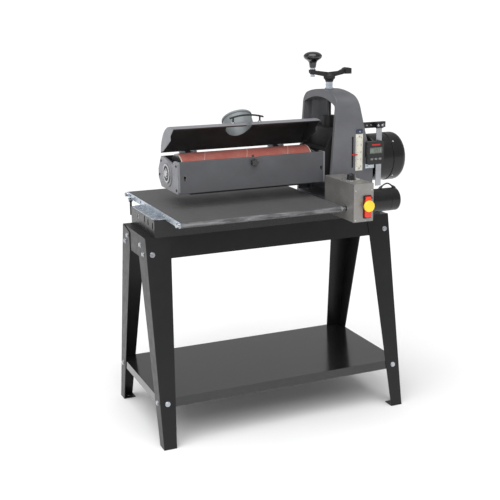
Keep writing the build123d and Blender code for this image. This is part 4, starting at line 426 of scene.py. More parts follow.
def make_finishes():
    """Every finish, by the name its pieces ask for."""
    c = colours()
    return {
        "stand": painted("stand powder coat", c.stand, (0.3, 0.42), coat=0.05, shine=0.3),
        "shelf": painted("shelf gloss paint", c.stand, (0.14, 0.24), 500, 0.00003, 0.2, 0.6),
        "casting": painted("grey powder coat", c.casting, (0.36, 0.5), 620, 0.00007),
        "panels": painted("dark grey paint", c.panels, (0.34, 0.46), 620, 0.00006),
        "plates": painted("pale grey paint", c.plates, (0.38, 0.52), 650, 0.00005, 0.15),
        "cover": cover_paint("cover paint", c.plates, c.inside),
        "cast black": cast("black casting", c.black),
        "motor": painted("motor enamel", c.black, (0.22, 0.34), 500, 0.00004, 0.2, 0.1, 0.35),
        "box": metal("brushed sheet", c.box, (0.34, 0.48), (260, 3, 3), 0.08, shine=0.55),
        "zinc": zinc_plate("zinc plate", c.zinc),
        "bolt": metal("bright bolts", (0.56, 0.58, 0.62, 1), (0.16, 0.32)),
        "steel": metal("ground steel", (0.50, 0.50, 0.51, 1), (0.2, 0.34), (500, 6, 6)),
        "screw": metal("oiled thread", (0.10, 0.10, 0.11, 1), (0.22, 0.4)),
        "chrome": metal("chrome", (0.40, 0.43, 0.48, 1), (0.12, 0.22), None, 0.12, 0.000005),
        "oxide": painted("black oxide", (0.010, 0.010, 0.011, 1), (0.3, 0.42), 900, 0.00003, 0.25),
        "drum": metal("turned aluminium", (0.62, 0.62, 0.63, 1), (0.25, 0.4), (700, 5, 5)),
        "belt": grit_belt("belt grit cloth", c.belt),
        "wrap": grit_wrap("drum grit cloth", c.abrasive),
        "rubber": moulded("presser rubber", (0.035, 0.035, 0.036, 1), (0.55, 0.7)),
        "cable": moulded("cable jacket", (0.018, 0.018, 0.019, 1), (0.35, 0.5)),
        "port": moulded("port moulding", c.port, (0.32, 0.46), 800, 0.00004),
        "plastic": moulded("black moulding", (0.012, 0.012, 0.013, 1), (0.34, 0.48)),
        "gloss": moulded("gloss phenolic", (0.004, 0.004, 0.005, 1), (0.07, 0.13), coat=0.6),
        "scale": moulded("scale print", c.scale, (0.35, 0.45)),
        "dial": metal("dial plate", (0.80, 0.80, 0.80, 1), (0.3, 0.42), None, 0.04),
        "strip": metal("anodised strip", (0.42, 0.43, 0.45, 1), (0.3, 0.42), (4, 4, 200)),
        "red": moulded("red paddle", c.paddle, (0.22, 0.34), coat=0.3),
        "yellow": moulded("yellow key", c.key, (0.3, 0.42)),
        "button": moulded("keypad rubber", (0.20, 0.20, 0.21, 1), (0.5, 0.62)),
        "ink": moulded("black ink", (0.012, 0.012, 0.012, 1), (0.4, 0.5)),
        "white ink": moulded("white ink", (0.75, 0.75, 0.74, 1), (0.4, 0.5)),
        "red ink": moulded("red ink", (0.55, 0.02, 0.015, 1), (0.4, 0.5)),
        "blue clip": painted("blued clip", (0.03, 0.045, 0.09, 1), (0.2, 0.32)),
        "glass": moulded("display glass", (0.17, 0.20, 0.17, 1), (0.08, 0.14), coat=0.6),
    }


NODE_FINISH = {
    "stand": "stand_legs_front stand_legs_rear stand_rails",
    "shelf": "stand_shelf",
    "casting": "column",
    "panels": "front_panel rear_panel",
    "plates": "end_plate_left end_plate_right drum_bearings",
    "cover": "dust_cover",
    "cast black": "head_carriage crank_arm conveyor_gearbox",
    "motor": "drum_motor motor_fan_cover conveyor_motor base_frame conveyor_bed",
    "box": "control_box",
    "zinc": "conveyor_brackets readout_bracket cover_hinges",
    "bolt": "stand_bolts machine_bolts panel_screws roller_bushings",
    "steel": "drum_shaft drive_roller idler_roller pressure_springs",
    "screw": "lead_screw",
    "chrome": "crank_hardware",
    "oxide": "table_stop_rod roller_guides readout_bar cover_handle "
    "pressure_carrier_front pressure_carrier_rear",
    "drum": "drum",
    "belt": "conveyor_belt",
    "wrap": "abrasive_wrap",
    "rubber": "pressure_roller_front pressure_roller_rear",
    "cable": "motor_cable",
    "port": "dust_port",
    "plastic": "switch_body readout_display",
    "gloss": "crank_knob latch_knob speed_knob",
    "scale": "depth_scale",
    "dial": "speed_dial",
    "strip": "readout_strip",
    "red": "switch_paddle",
    "yellow": "switch_key",
    "button": "readout_button_1 readout_button_2 readout_button_3",
    "red ink": "depth_pointer",
}
FINISHES = {}


def finish(name):
    """A finish made once for the scene and then shared."""
    if not FINISHES:
        FINISHES.update(make_finishes())
    return FINISHES[name]


# ---------------------------------------------------------------- mesh helpers


def new_piece(name, mesh, look, body):
    """An object at the origin from a mesh, with its finish and body."""
    for polygon in mesh.polygons:
        polygon.use_smooth = True
    mesh.set_sharp_from_angle(angle=radians(32))
    mesh.materials.clear()
    mesh.materials.append(finish(look))
    obj = bpy.data.objects.new(name, mesh)
    bpy.context.collection.objects.link(obj)
    if body:
        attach(obj, body)
    return obj


def mesh_from(bm, name):
    """A mesh from a bmesh, its faces turned outwards."""
    bmesh.ops.remove_doubles(bm, verts=bm.verts, dist=1e-7)
    bmesh.ops.recalc_face_normals(bm, faces=bm.faces)
    mesh = bpy.data.meshes.new(name)
    bm.to_mesh(mesh)
    bm.free()
    return mesh


def shaped(name, bm, look, body):
    """A piece straight from a bmesh."""
    return new_piece(name, mesh_from(bm, name), look, body)


def turned(bm, outline, sides=32, centre=(0, 0, 0), facing=(0, 0, 1)):
    """A turned shape from (radius, height) pairs that start and end on its axis."""
    look = Vector(facing).to_track_quat("Z", "Y").to_matrix()
    rings = []
    for radius, height in outline:
        count = 1 if radius < 1e-9 else sides
        ring = []
        for i in range(count):
            a = 2 * pi * i / sides
            point = look @ Vector((radius * cos(a), radius * sin(a), height))
            ring.append(bm.verts.new(point + Vector(centre)))
        rings.append(ring)
    for low, high in zip(rings, rings[1:]):
        for i in range(sides):
            quad = [low[i % len(low)], low[(i + 1) % len(low)],
                    high[(i + 1) % len(high)], high[i % len(high)]]
            corners = list(dict.fromkeys(quad))
            if len(corners) > 2:
                bm.faces.new(corners)


def slab(bm, low, high, bevel=0.0):
    """A block between two corners with its edges eased."""
    size = Vector(high) - Vector(low)
    middle = (Vector(high) + Vector(low)) / 2
    matrix = Matrix.Translation(middle) @ Matrix.Diagonal((*size, 1))
    made = bmesh.ops.create_cube(bm, size=1, matrix=matrix)
    if bevel:
        edges = list({e for v in made["verts"] for e in v.link_edges})
        bmesh.ops.bevel(bm, geom=edges, offset=bevel, segments=2, affect="EDGES", profile=0.5)


def tube(bm, points, radius, sides=10):
    """A round wire along points, closed at both ends."""
    rings = []
    side = None
    for i, point in enumerate(points):
        ahead = Vector(points[min(i + 1, len(points) - 1)]) - Vector(points[max(i - 1, 0)])
        ahead.normalize()
        side = (side - ahead * side.dot(ahead)) if side else ahead.orthogonal()
        side.normalize()
        other = ahead.cross(side)
        rings.append([
            bm.verts.new(Vector(point) + radius * (cos(a) * side + sin(a) * other))
            for a in (2 * pi * k / sides for k in range(sides))
        ])
    for low, high in zip(rings, rings[1:]):
        for i in range(sides):
            j = (i + 1) % sides
            bm.faces.new((low[i], low[j], high[j], high[i]))
    bm.faces.new(rings[0][::-1])
    bm.faces.new(rings[-1])


def ring(bm, outline, sides, centre, facing=(0, 0, 1)):
    """A closed outline of (radius, height) pairs turned about an axis it doesn't touch."""
    look = Vector(facing).to_track_quat("Z", "Y").to_matrix()
    loops = []
    for radius, height in outline:
        loops.append([
            bm.verts.new(Vector(centre) + look @ Vector((radius * cos(a), radius * sin(a), height)))
            for a in (2 * pi * i / sides for i in range(sides))
        ])
    for low, high in zip(loops, loops[1:] + loops[:1]):
        for i in range(sides):
            j = (i + 1) % sides
            bm.faces.new((low[i], low[j], high[j], high[i]))


def carved(name, bm, cutter):
    """The first shape with the second cut out of it, as a bmesh."""
    block = bpy.data.objects.new(name, mesh_from(bm, name))
    tool = bpy.data.objects.new(name + " cutter", mesh_from(cutter, name + " cutter"))
    for obj in (block, tool):
        bpy.context.collection.objects.link(obj)
    modifier = block.modifiers.new("Cut", "BOOLEAN")
    modifier.operation = "DIFFERENCE"
    modifier.solver = "EXACT"
    modifier.object = tool
    depsgraph = bpy.context.evaluated_depsgraph_get()
    mesh = bpy.data.meshes.new_from_object(block.evaluated_get(depsgraph))
    block.modifiers.remove(modifier)
    for obj in (block, tool):
        bpy.data.objects.remove(obj)
    made = bmesh.new()
    made.from_mesh(mesh)
    return made


def cross_head(radius, height, shank, reach):
    """A pan-head screw with a cross recess, its seat at the origin."""
    bm = bmesh.new()
    dome = [(0, -reach), (shank, -reach), (shank, 0.0), (radius, 0.0), (radius, 0.45 * height)]
    for i in range(1, 6):
        a = i / 6 * pi / 2
        dome.append((radius * (0.55 + 0.45 * cos(a)), height * (0.45 + 0.55 * sin(a))))
    dome += [(radius * 0.5, height), (0, height)]
    turned(bm, dome, 20)
    cutter = bmesh.new()
    arm, half, deep = radius * 0.52, radius * 0.11, height * 0.45
    slab(cutter, (-arm, -half, deep), (arm, half, height * 2))
    tool = carved("screw", bm, cutter)
    cutter = bmesh.new()
    slab(cutter, (-half, -arm, deep), (half, arm, height * 2))
    return carved("screw", tool, cutter)


def cap_screw(radius, height, socket):
    """A socket-head cap screw, its seat at the origin."""
    bm = bmesh.new()
    turned(bm, [(0, -0.0005), (radius, -0.0005), (radius, height - 0.0006),
                (radius - 0.0006, height), (0, height)], 24)
    cutter = bmesh.new()
    bmesh.ops.create_cone(cutter, cap_ends=True, segments=6, radius1=socket, radius2=socket,
                          depth=height, matrix=Matrix.Translation((0, 0, height)))
    return carved("cap screw", bm, cutter)


# ------------------------------------------------------- geometry node helpers


def new_tree(name, extra):
    """A geometry tree with a geometry input, named inputs, a material and an output."""
    tree = bpy.data.node_groups.new(name, "GeometryNodeTree")
    tree.interface.new_socket("Geometry", in_out="INPUT", socket_type="NodeSocketGeometry")
    for label, kind in extra + [("Finish", "NodeSocketMaterial")]:
        tree.interface.new_socket(label, in_out="INPUT", socket_type=kind)
    tree.interface.new_socket("Geometry", in_out="OUTPUT", socket_type="NodeSocketGeometry")
    return tree, tree.nodes.new("NodeGroupInput"), tree.nodes.new("NodeGroupOutput")


def finish_tree(tree, given, result, geometry):
    """Realises the copies and gives them their finish."""
    real = tree.nodes.new("GeometryNodeRealizeInstances")
    paint = tree.nodes.new("GeometryNodeSetMaterial")
    tree.links.new(geometry, real.inputs[0])
    tree.links.new(real.outputs[0], paint.inputs["Geometry"])
    tree.links.new(given.outputs["Finish"], paint.inputs["Material"])
    tree.links.new(paint.outputs[0], result.inputs[0])


def row_tree():
    """Copies of the given shape, each moved and turned from the one before."""
    inputs = [("Count", "NodeSocketInt"), ("Start", "NodeSocketVector"),
              ("Step", "NodeSocketVector"), ("Turn", "NodeSocketVector")]
    tree, given, result = new_tree("Row or ring of copies", inputs)
    line = tree.nodes.new("GeometryNodeMeshLine")
    tree.links.new(given.outputs["Count"], line.inputs["Count"])
    tree.links.new(given.outputs["Start"], line.inputs["Start Location"])
    tree.links.new(given.outputs["Step"], line.inputs["Offset"])
    index = tree.nodes.new("GeometryNodeInputIndex")
    angle = tree.nodes.new("ShaderNodeVectorMath")
    angle.operation = "SCALE"
    tree.links.new(given.outputs["Turn"], angle.inputs[0])
    tree.links.new(index.outputs[0], angle.inputs["Scale"])
    euler = tree.nodes.new("FunctionNodeEulerToRotation")
    tree.links.new(angle.outputs[0], euler.inputs[0])
    copies = tree.nodes.new("GeometryNodeInstanceOnPoints")
    tree.links.new(line.outputs[0], copies.inputs["Points"])
    tree.links.new(given.outputs["Geometry"], copies.inputs["Instance"])
    tree.links.new(euler.outputs[0], copies.inputs["Rotation"])
    finish_tree(tree, given, result, copies.outputs[0])
    return tree


def seats_tree():
    """A fitting set on each marked point, facing the way its point says."""
    inputs = [("Fitting", "NodeSocketObject"), ("Size", "NodeSocketFloat")]
    tree, given, result = new_tree("Fitting on each seat", inputs)
    fitting = tree.nodes.new("GeometryNodeObjectInfo")
    tree.links.new(given.outputs["Fitting"], fitting.inputs["Object"])
    facing = tree.nodes.new("GeometryNodeInputNamedAttribute")
    facing.data_type = "FLOAT_VECTOR"
    facing.inputs["Name"].default_value = "facing"
    turn = tree.nodes.new("FunctionNodeAlignRotationToVector")
    turn.axis = "Z"
    tree.links.new(facing.outputs["Attribute"], turn.inputs["Vector"])
    copies = tree.nodes.new("GeometryNodeInstanceOnPoints")
    tree.links.new(given.outputs["Geometry"], copies.inputs["Points"])
    tree.links.new(fitting.outputs["Geometry"], copies.inputs["Instance"])
    tree.links.new(turn.outputs[0], copies.inputs["Rotation"])
    tree.links.new(given.outputs["Size"], copies.inputs["Scale"])
    finish_tree(tree, given, result, copies.outputs[0])
    return tree


def grown(name, mesh, tree_maker, values, look, body):
    """Runs a tree on a mesh and keeps the result as a plain piece."""
    tree = bpy.data.node_groups.get(tree_maker.__name__)
    if tree is None:
        tree = tree_maker()
        tree.name = tree_maker.__name__
    seed = bpy.data.objects.new(name + " seed", mesh)
    bpy.context.collection.objects.link(seed)
    modifier = seed.modifiers.new("Copies", "NODES")
    modifier.node_group = tree
    values = dict(values, Finish=finish(look))
    for item in tree.interface.items_tree:
        if item.in_out == "INPUT" and item.name in values:
            modifier[item.identifier] = values[item.name]
    seed.update_tag()
    depsgraph = bpy.context.evaluated_depsgraph_get()
    made = bpy.data.meshes.new_from_object(seed.evaluated_get(depsgraph))
    seed.modifiers.remove(modifier)
    bpy.data.objects.remove(seed)
    return new_piece(name, made, look, body)


def copies(name, bm, count, start, step, turn, look, body, slot):
    """A row or ring of one shape, drawn about the origin."""
    mesh = mesh_from(bm, name)
    values = {"Count": count, "Start": start, "Step": step, "Turn": turn}
    return grown(name, mesh, row_tree, values, look, body)


def fittings(name, bm, seats, look, body, size=1.0):
    """A shape, drawn about the origin and facing +Z, set on (place, facing) seats."""
    item = bpy.data.objects.new(name + " item", mesh_from(bm, name + " item"))
    bpy.context.collection.objects.link(item)
    marks = bpy.data.meshes.new(name + " marks")
    marks.from_pydata([tuple(place) for place, _ in seats], [], [])
    facing = marks.attributes.new("facing", "FLOAT_VECTOR", "POINT")
    for i, (_, way) in enumerate(seats):
        facing.data[i].vector = Vector(way)
    values = {"Fitting": item, "Size": size}
    made = grown(name, marks, seats_tree, values, look, body)
    bpy.data.objects.remove(item)
    return made


def number(text, size, centre, right, up, look, body, name):
    """A small printed number, flat on its plate."""
    curve = bpy.data.curves.new(name, "FONT")
    curve.body = text
    curve.size = size
    curve.extrude = 0.00006
    curve.align_x = "CENTER"
    curve.align_y = "CENTER"
    curve.resolution_u = 3
    holder = bpy.data.objects.new(name + " text", curve)
    bpy.context.collection.objects.link(holder)
    depsgraph = bpy.context.evaluated_depsgraph_get()
    mesh = bpy.data.meshes.new_from_object(holder.evaluated_get(depsgraph))
    bpy.data.objects.remove(holder)
    right, up = Vector(right), Vector(up)
    turn = Matrix((right, up, right.cross(up))).transposed().to_4x4()
    mesh.transform(Matrix.Translation(Vector(centre)) @ turn)
    return new_piece(name, mesh, look, body)


# ---------------------------------------------------------------- operators


class SANDER_OT_stage(bpy.types.Operator):
    """Pale floor, soft studio light and the camera"""

    bl_idname = "sander.stage"
    bl_label = "Stage"

    def execute(self, context):
        scene = context.scene
        scene.view_settings.view_transform = "Standard"
        world = bpy.data.worlds.new("Studio")
        world.use_nodes = True
        sky = world.node_tree.nodes["Background"]
        sky.inputs["Color"].default_value = (1, 1, 1, 1)
        sky.inputs["Strength"].default_value = 0.42
        seen = world.node_tree.nodes.new("ShaderNodeBackground")
        seen.inputs["Color"].default_value = (1, 1, 1, 1)
        seen.inputs["Strength"].default_value = 1.1
        path = world.node_tree.nodes.new("ShaderNodeLightPath")
        both = world.node_tree.nodes.new("ShaderNodeMixShader")
        out = world.node_tree.nodes["World Output"]
        world.node_tree.links.new(path.outputs["Is Camera Ray"], both.inputs[0])
        world.node_tree.links.new(sky.outputs[0], both.inputs[1])
        world.node_tree.links.new(seen.outputs[0], both.inputs[2])
        world.node_tree.links.new(both.outputs[0], out.inputs[0])
        scene.world = world

        bm = bmesh.new()
        bmesh.ops.create_circle(bm, cap_ends=True, segments=64, radius=60)
        floor = bpy.data.objects.new("floor", bpy.data.meshes.new("floor"))
        bm.to_mesh(floor.data)
        bm.free()
        f = Finish("pale floor")
        patches = f.span(f.noise(0.8, 3), 0.3, 0.7)
        f.base(f.mix(patches, (0.93, 0.93, 0.93, 1), (0.97, 0.97, 0.97, 1)))
        f.rough(f.noise(3, 3), 0.6, 0.75)
        f.spec(Specular_IOR_Level=0.2)
        floor.data.materials.append(f.mat)
        scene.collection.objects.link(floor)

        sun = bpy.data.lights.new("key", "SUN")
        sun.energy = 2.6
        sun.angle = radians(70)
        key = bpy.data.objects.new("key", sun)
        key.rotation_euler = Euler((radians(24), 0, radians(-40)))
        scene.collection.objects.link(key)
        panels = (
            ("front softbox", (-0.9, -3.2, 2.3), 14, (1.6, 1.2)),
            ("side softbox", (-3.2, -0.4, 1.7), 7, (1.2, 1.6)),
        )
        for name, place, power, (width, height) in panels:
            light = bpy.data.lights.new(name, "AREA")
            light.shape = "RECTANGLE"
            light.size, light.size_y = width, height
            light.energy = power
            lamp = bpy.data.objects.new(name, light)
            lamp.location = place
            aim = Vector((0, 0, 0.8)) - Vector(place)
            lamp.rotation_euler = aim.to_track_quat("-Z", "Y").to_euler()
            scene.collection.objects.link(lamp)

        yaw, pitch, roll = radians(23.264), radians(14.370), radians(-0.590)
        ahead = Vector((sin(yaw) * cos(pitch), cos(yaw) * cos(pitch), -sin(pitch)))
        side = Vector((cos(yaw), -sin(yaw), 0))
        top = side.cross(ahead)
        right = side * cos(roll) + top * sin(roll)
        up = top * cos(roll) - side * sin(roll)
        data = bpy.data.cameras.new("camera")
        data.lens, data.sensor_width = 68.73, 36
        camera = bpy.data.objects.new("camera", data)
        turn = Matrix((right, up, -ahead)).transposed().to_4x4()
        camera.matrix_world = Matrix.Translation((-1.3326, -3.0275, 1.4219)) @ turn
        scene.collection.objects.link(camera)
        scene.camera = camera
        return {"FINISHED"}


class SANDER_OT_finishes(bpy.types.Operator):
    """Give every part of the frame its finish"""

    bl_idname = "sander.finishes"
    bl_label = "Finishes"

    def execute(self, context):
        for look, names in NODE_FINISH.items():
            for name in names.split():
                mesh = frame["nodes"][name].data
                mesh.materials.clear()
                mesh.materials.append(finish(look))
        return {"FINISHED"}


class SANDER_OT_cable(bpy.types.Operator):
    """The feed motor's lead, looped between its two glands, with tapered reliefs"""

    bl_idname = "sander.cable"
    bl_label = "Motor lead"

    def execute(self, context):
        route = [Vector(p) for p in (
            (0.331, -0.281, 0.820), (0.344, -0.281, 0.832),
            (0.365, -0.281, 0.834), (0.381, -0.281, 0.818),
        )]
        curve = bpy.data.curves.new("motor_lead", "CURVE")
        curve.dimensions = "3D"
        spline = curve.splines.new("NURBS")
        spline.points.add(len(route) - 1)
        for point, place in zip(spline.points, route):
            point.co = (*place, 1)
        spline.order_u = 3
        spline.use_endpoint_u = True
        spline.resolution_u = 16
        curve.bevel_depth = 0.0025
        curve.bevel_resolution = 5
        curve.use_fill_caps = True
        curve.materials.append(finish("cable"))
        lead = bpy.data.objects.new("motor_lead", curve)
        context.collection.objects.link(lead)
        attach(lead, "root")

        bm = bmesh.new()
        profile = [(0, -0.002), (0.0052, -0.002), (0.0055, 0.0005), (0.0048, 0.002)]
        for i in range(4):
            z = 0.002 + 0.0022 * i
            wide = 0.0047 - 0.00045 * i
            groove = wide - 0.0007
            profile += [(wide, z), (wide, z + 0.0012), (groove, z + 0.0015), (groove, z + 0.002)]
        profile += [(0.0027, 0.0112), (0, 0.0114)]
        turned(bm, profile, 20)
        seats = [(route[0], route[1] - route[0]), (route[-1], route[-2] - route[-1])]
        seats = [(place - 0.002 * way.normalized(), way.normalized()) for place, way in seats]
        relief = fittings("lead_reliefs", bm, seats, "cable", "root")
        plain = curve.copy()
        plain.bevel_depth = 0
        holder = bpy.data.objects.new("lead line", plain)
        context.collection.objects.link(holder)
        depsgraph = context.evaluated_depsgraph_get()
        line = bpy.data.meshes.new_from_object(holder.evaluated_get(depsgraph))
        bpy.data.objects.remove(holder)
        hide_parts("motor_cable")
        return {"FINISHED"}


class SANDER_OT_lead_screw(bpy.types.Operator):
    """The threaded lead screw with its thrust collar"""

    bl_idname = "sander.lead_screw"
    bl_label = "Lead screw"

    def execute(self, context):
        s = sizes()
        x = (SCREW_LOW.x + SCREW_HIGH.x) / 2
        y = (SCREW_LOW.y + SCREW_HIGH.y) / 2
        sides, radius, low = 24, 0.008, SCREW_LOW.z + 0.003
        collar = SCREW_HIGH.z - 0.0753
        high = collar - 0.0015
        rows = int((high - low) / s.thread_pitch * 6)
        bm = bmesh.new()
        rings = []
        for j in range(rows + 1):
            z = low + (high - low) * j / rows
            ring = []
            for i in range(sides):
                a = 2 * pi * i / sides
                phase = ((z - low) / s.thread_pitch - i / sides) % 1
                r = radius - s.thread_depth * min(1, abs(phase - 0.5) * 2.6)
                ring.append(bm.verts.new((x + r * cos(a), y + r * sin(a), z)))
            rings.append(ring)
        for lower, upper in zip(rings, rings[1:]):
            for i in range(sides):
                j = (i + 1) % sides
                bm.faces.new((lower[i], lower[j], upper[j], upper[i]))
        bm.faces.new(rings[0][::-1])
        bm.faces.new(rings[-1])
        core = [(0, SCREW_LOW.z), (0.0062, SCREW_LOW.z), (0.0073, SCREW_LOW.z + 0.0012),
                (0.0073, collar), (0.0113, collar), (0.012, collar + 0.0007),
                (0.012, collar + 0.0043), (0.0113, collar + 0.005), (0.008, collar + 0.005),
                (0.008, SCREW_HIGH.z - 0.001), (0.007, SCREW_HIGH.z), (0, SCREW_HIGH.z)]
        turned(bm, core, 32, (x, y, 0))
        piece = shaped("threaded_screw", bm, "screw", "crank")
        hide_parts("lead_screw")
        return {"FINISHED"}


class SANDER_OT_springs(bpy.types.Operator):
    """Coil springs over the hold-down rollers' guide pins"""

    bl_idname = "sander.springs"
    bl_label = "Hold-down springs"

    def execute(self, context):
        s = sizes()
        wire = s.spring_wire / 2
        height = SPRING_HIGH.z - SPRING_LOW.z
        radius = 0.006 - wire
        steps = 18
        points = []
        for i in range(s.spring_turns * steps + 1):
            t = i / (s.spring_turns * steps)
            a = 2 * pi * s.spring_turns * t
            rise = (t - sin(2 * pi * t) * 0.06)
            points.append((radius * cos(a), radius * sin(a), wire + (height - 2 * wire) * rise))
        bm = bmesh.new()
        tube(bm, points, wire, 8)
        xs = (SPRING_LOW.x + 0.006, SPRING_HIGH.x - 0.006)
        sides = (("front", SPRING_LOW.y + 0.006), ("rear", SPRING_HIGH.y - 0.006))
        for side, y in sides:
            seats = [((x, y, SPRING_LOW.z), (0, 0, 1)) for x in xs]
            name = f"coil_springs_{side}"
            piece = fittings(name, bm.copy(), seats, "steel", "head")
            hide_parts("pressure_springs")
            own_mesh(piece)
        bm.free()
        return {"FINISHED"}


class SANDER_OT_depth_scale(bpy.types.Operator):
    """Ticks, numbers and the top clip of the depth scale"""

    bl_idname = "sander.depth_scale"
    bl_label = "Depth scale"

    def execute(self, context):
        s = sizes()
        face = SCALE_LOW.y
        left, zero = SCALE_LOW.x + 0.0006, SCALE_LOW.z + 0.014
        count = int(round(0.1016 / s.scale_step)) + 1
        rows = (("short_ticks", 0.0045, count, s.scale_step), ("half_ticks", 0.0075, 9, INCH / 2),
                ("inch_ticks", 0.0115, 5, INCH))
        for name, reach, number_of, step in rows:
            bm = bmesh.new()
            slab(bm, (0, -0.00006, -0.00032), (reach, 0.0001, 0.00032))
            copies(name, bm, number_of, (left, face, zero), (0, 0, step), (0, 0, 0),
                   "ink", "root", "scale_cream")
        for value in range(5):
            place = (SCALE_HIGH.x - 0.0072, face, zero + INCH * value)
            number(str(value), 0.0105, place, (1, 0, 0), (0, 0, 1), "ink", "root",
                   f"scale_number_{value}")
        bm = bmesh.new()
        x, z = (SCALE_LOW.x + SCALE_HIGH.x) / 2, SCALE_HIGH.z
        slab(bm, (x - 0.012, face - 0.0028, z), (x + 0.012, COLUMN_LOW.y, z + 0.016), 0.0012)
        shaped("scale_clip", bm, "blue clip", "root")
        return {"FINISHED"}


class SANDER_OT_speed_dial(bpy.types.Operator):
    """Printed marks and numbers round the belt speed knob"""

    bl_idname = "sander.speed_dial"
    bl_label = "Speed dial"

    def execute(self, context):
        marks = sizes().dial_marks
        x, y = (DIAL_LOW.x + DIAL_HIGH.x) / 2, (DIAL_LOW.y + DIAL_HIGH.y) / 2
        sweep = radians(300)
        first = pi / 2 + sweep / 2
        bm = bmesh.new()
        slab(bm, (0.0178, -0.0005, -0.0001), (0.0225, 0.0005, 0.00008))
        bmesh.ops.rotate(bm, verts=bm.verts, matrix=Matrix.Rotation(first, 3, "Z"))
        copies("dial_marks", bm, marks, (x, y, DIAL_HIGH.z), (0, 0, 0),
               (0, 0, -sweep / (marks - 1)), "ink", "root", "dial_pale")
        for i in range(0, marks, 2):
            a = first - sweep * i / (marks - 1)
            place = (x + 0.0265 * cos(a), y + 0.0265 * sin(a), DIAL_HIGH.z)
            number(str(i), 0.0062, place, (1, 0, 0), (0, 1, 0), "ink", "root",
                   f"dial_number_{i}")
        bm = bmesh.new()
        rim = [(0.0316, 0.0), (0.0316, 0.0004), (0.0304, 0.0004), (0.0304, 0.0)]
        ring(bm, rim, 64, (x, y, DIAL_HIGH.z - 0.0002))
        shaped("dial_rim", bm, "ink", "root")
        return {"FINISHED"}


class SANDER_OT_panel_screws(bpy.types.Operator):
    """Cross-recess screws of the control box, scale and readout plate"""

    bl_idname = "sander.panel_screws"
    bl_label = "Panel screws"

    def execute(self, context):
        front = (0, -1, 0)
        box = BOX_LOW.y
        seats = [(BOX_LOW.x + 0.007, BOX_LOW.z + 0.007), (BOX_LOW.x + 0.007, BOX_HIGH.z - 0.022),
                 (BOX_LOW.x + 0.043, BOX_LOW.z + 0.006), (BOX_HIGH.x - 0.007, BOX_HIGH.z - 0.022)]
        seats = [((x, box, z), front) for x, z in seats]
        middle = (SCALE_LOW.x + SCALE_HIGH.x) / 2
        seats += [((middle, SCALE_LOW.y, z), front)
                  for z in (SCALE_LOW.z + 0.009, SCALE_HIGH.z - 0.009)]
        seats += [((SHOW_LOW.x + 0.010, COLUMN_LOW.y - 0.003, SHOW_LOW.z + up), front)
                  for up in (-0.007, 0.014)]
        bm = cross_head(0.003, 0.002, 0.0014, 0.005)
        piece = fittings("cross_screws", bm, seats, "bolt", "root")
        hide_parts("panel_screws")
        clip = ((middle, SCALE_LOW.y - 0.0028, SCALE_HIGH.z + 0.008), front)
        bm = cross_head(0.0026, 0.0014, 0.0012, 0.002)
        fittings("clip_screw", bm, [clip], "bolt", "root")
        return {"FINISHED"}


class SANDER_OT_readout(bpy.types.Operator):
    """Window, digits and band of the thickness readout"""

    bl_idname = "sander.readout"
    bl_label = "Readout face"

    def execute(self, context):
        x, face = (SHOW_LOW.x + SHOW_HIGH.x) / 2, SHOW_LOW.y
        z = SHOW_HIGH.z - 0.031
        bm = bmesh.new()
        slab(bm, (x - 0.0226, face + 0.0003, z - 0.0081),
             (x + 0.0226, face + 0.0011, z + 0.0081), 0.0002)
        shaped("readout_window", bm, "glass", "root")
        bm = bmesh.new()
        outer, inner = (0.0245, 0.010), (0.0231, 0.0086)
        for low, high in (((-outer[0], inner[1]), outer),
                          ((-outer[0], -outer[1]), (outer[0], -inner[1])),
                          ((-outer[0], -inner[1]), (-inner[0], inner[1])),
                          ((inner[0], -inner[1]), (outer[0], inner[1]))):
            slab(bm, (x + low[0], face - 0.0003, z + low[1]),
                 (x + high[0], face + 0.0002, z + high[1]))
        shaped("window_frame", bm, "button", "root")
        bm = bmesh.new()
        lit = {"1": "cf", "6": "abcdeg", "9": "afgbcd", "3": "afgcd"}
        bars = {"a": (0.5, 1, 1), "d": (0.5, 0, 1), "g": (0.5, 0.5, 1), "b": (0, 0.75, 0),
                "c": (1, 0.25, 0), "e": (0, 0.25, 0), "f": (1, 0.75, 0)}
        wide, tall, thick = 0.0045, 0.0095, 0.0005
        for i, digit in enumerate("1693"):
            start = x - 0.0125 + 0.0074 * i
            for key in lit[digit]:
                u, v, flat = bars[key]
                cx, cz = start + u * wide, z + (v - 0.5) * tall
                half = (wide / 2 - 0.0004, thick) if flat else (thick, tall / 4 - 0.0004)
                slab(bm, (cx - half[0], face + 0.0001, cz - half[1]),
                     (cx + half[0], face + 0.0004, cz + half[1]))
        slab(bm, (x - 0.0068, face + 0.0001, z - tall / 2 - 0.0004),
             (x - 0.0058, face + 0.0004, z - tall / 2 + 0.0006))
        shaped("readout_digits", bm, "ink", "root")
        bm = bmesh.new()
        slab(bm, (x - 0.017, face - 0.0002, SHOW_HIGH.z - 0.0135),
             (x + 0.017, face + 0.0002, SHOW_HIGH.z - 0.0085), 0.0001)
        shaped("readout_band", bm, "red ink", "root")
        return {"FINISHED"}


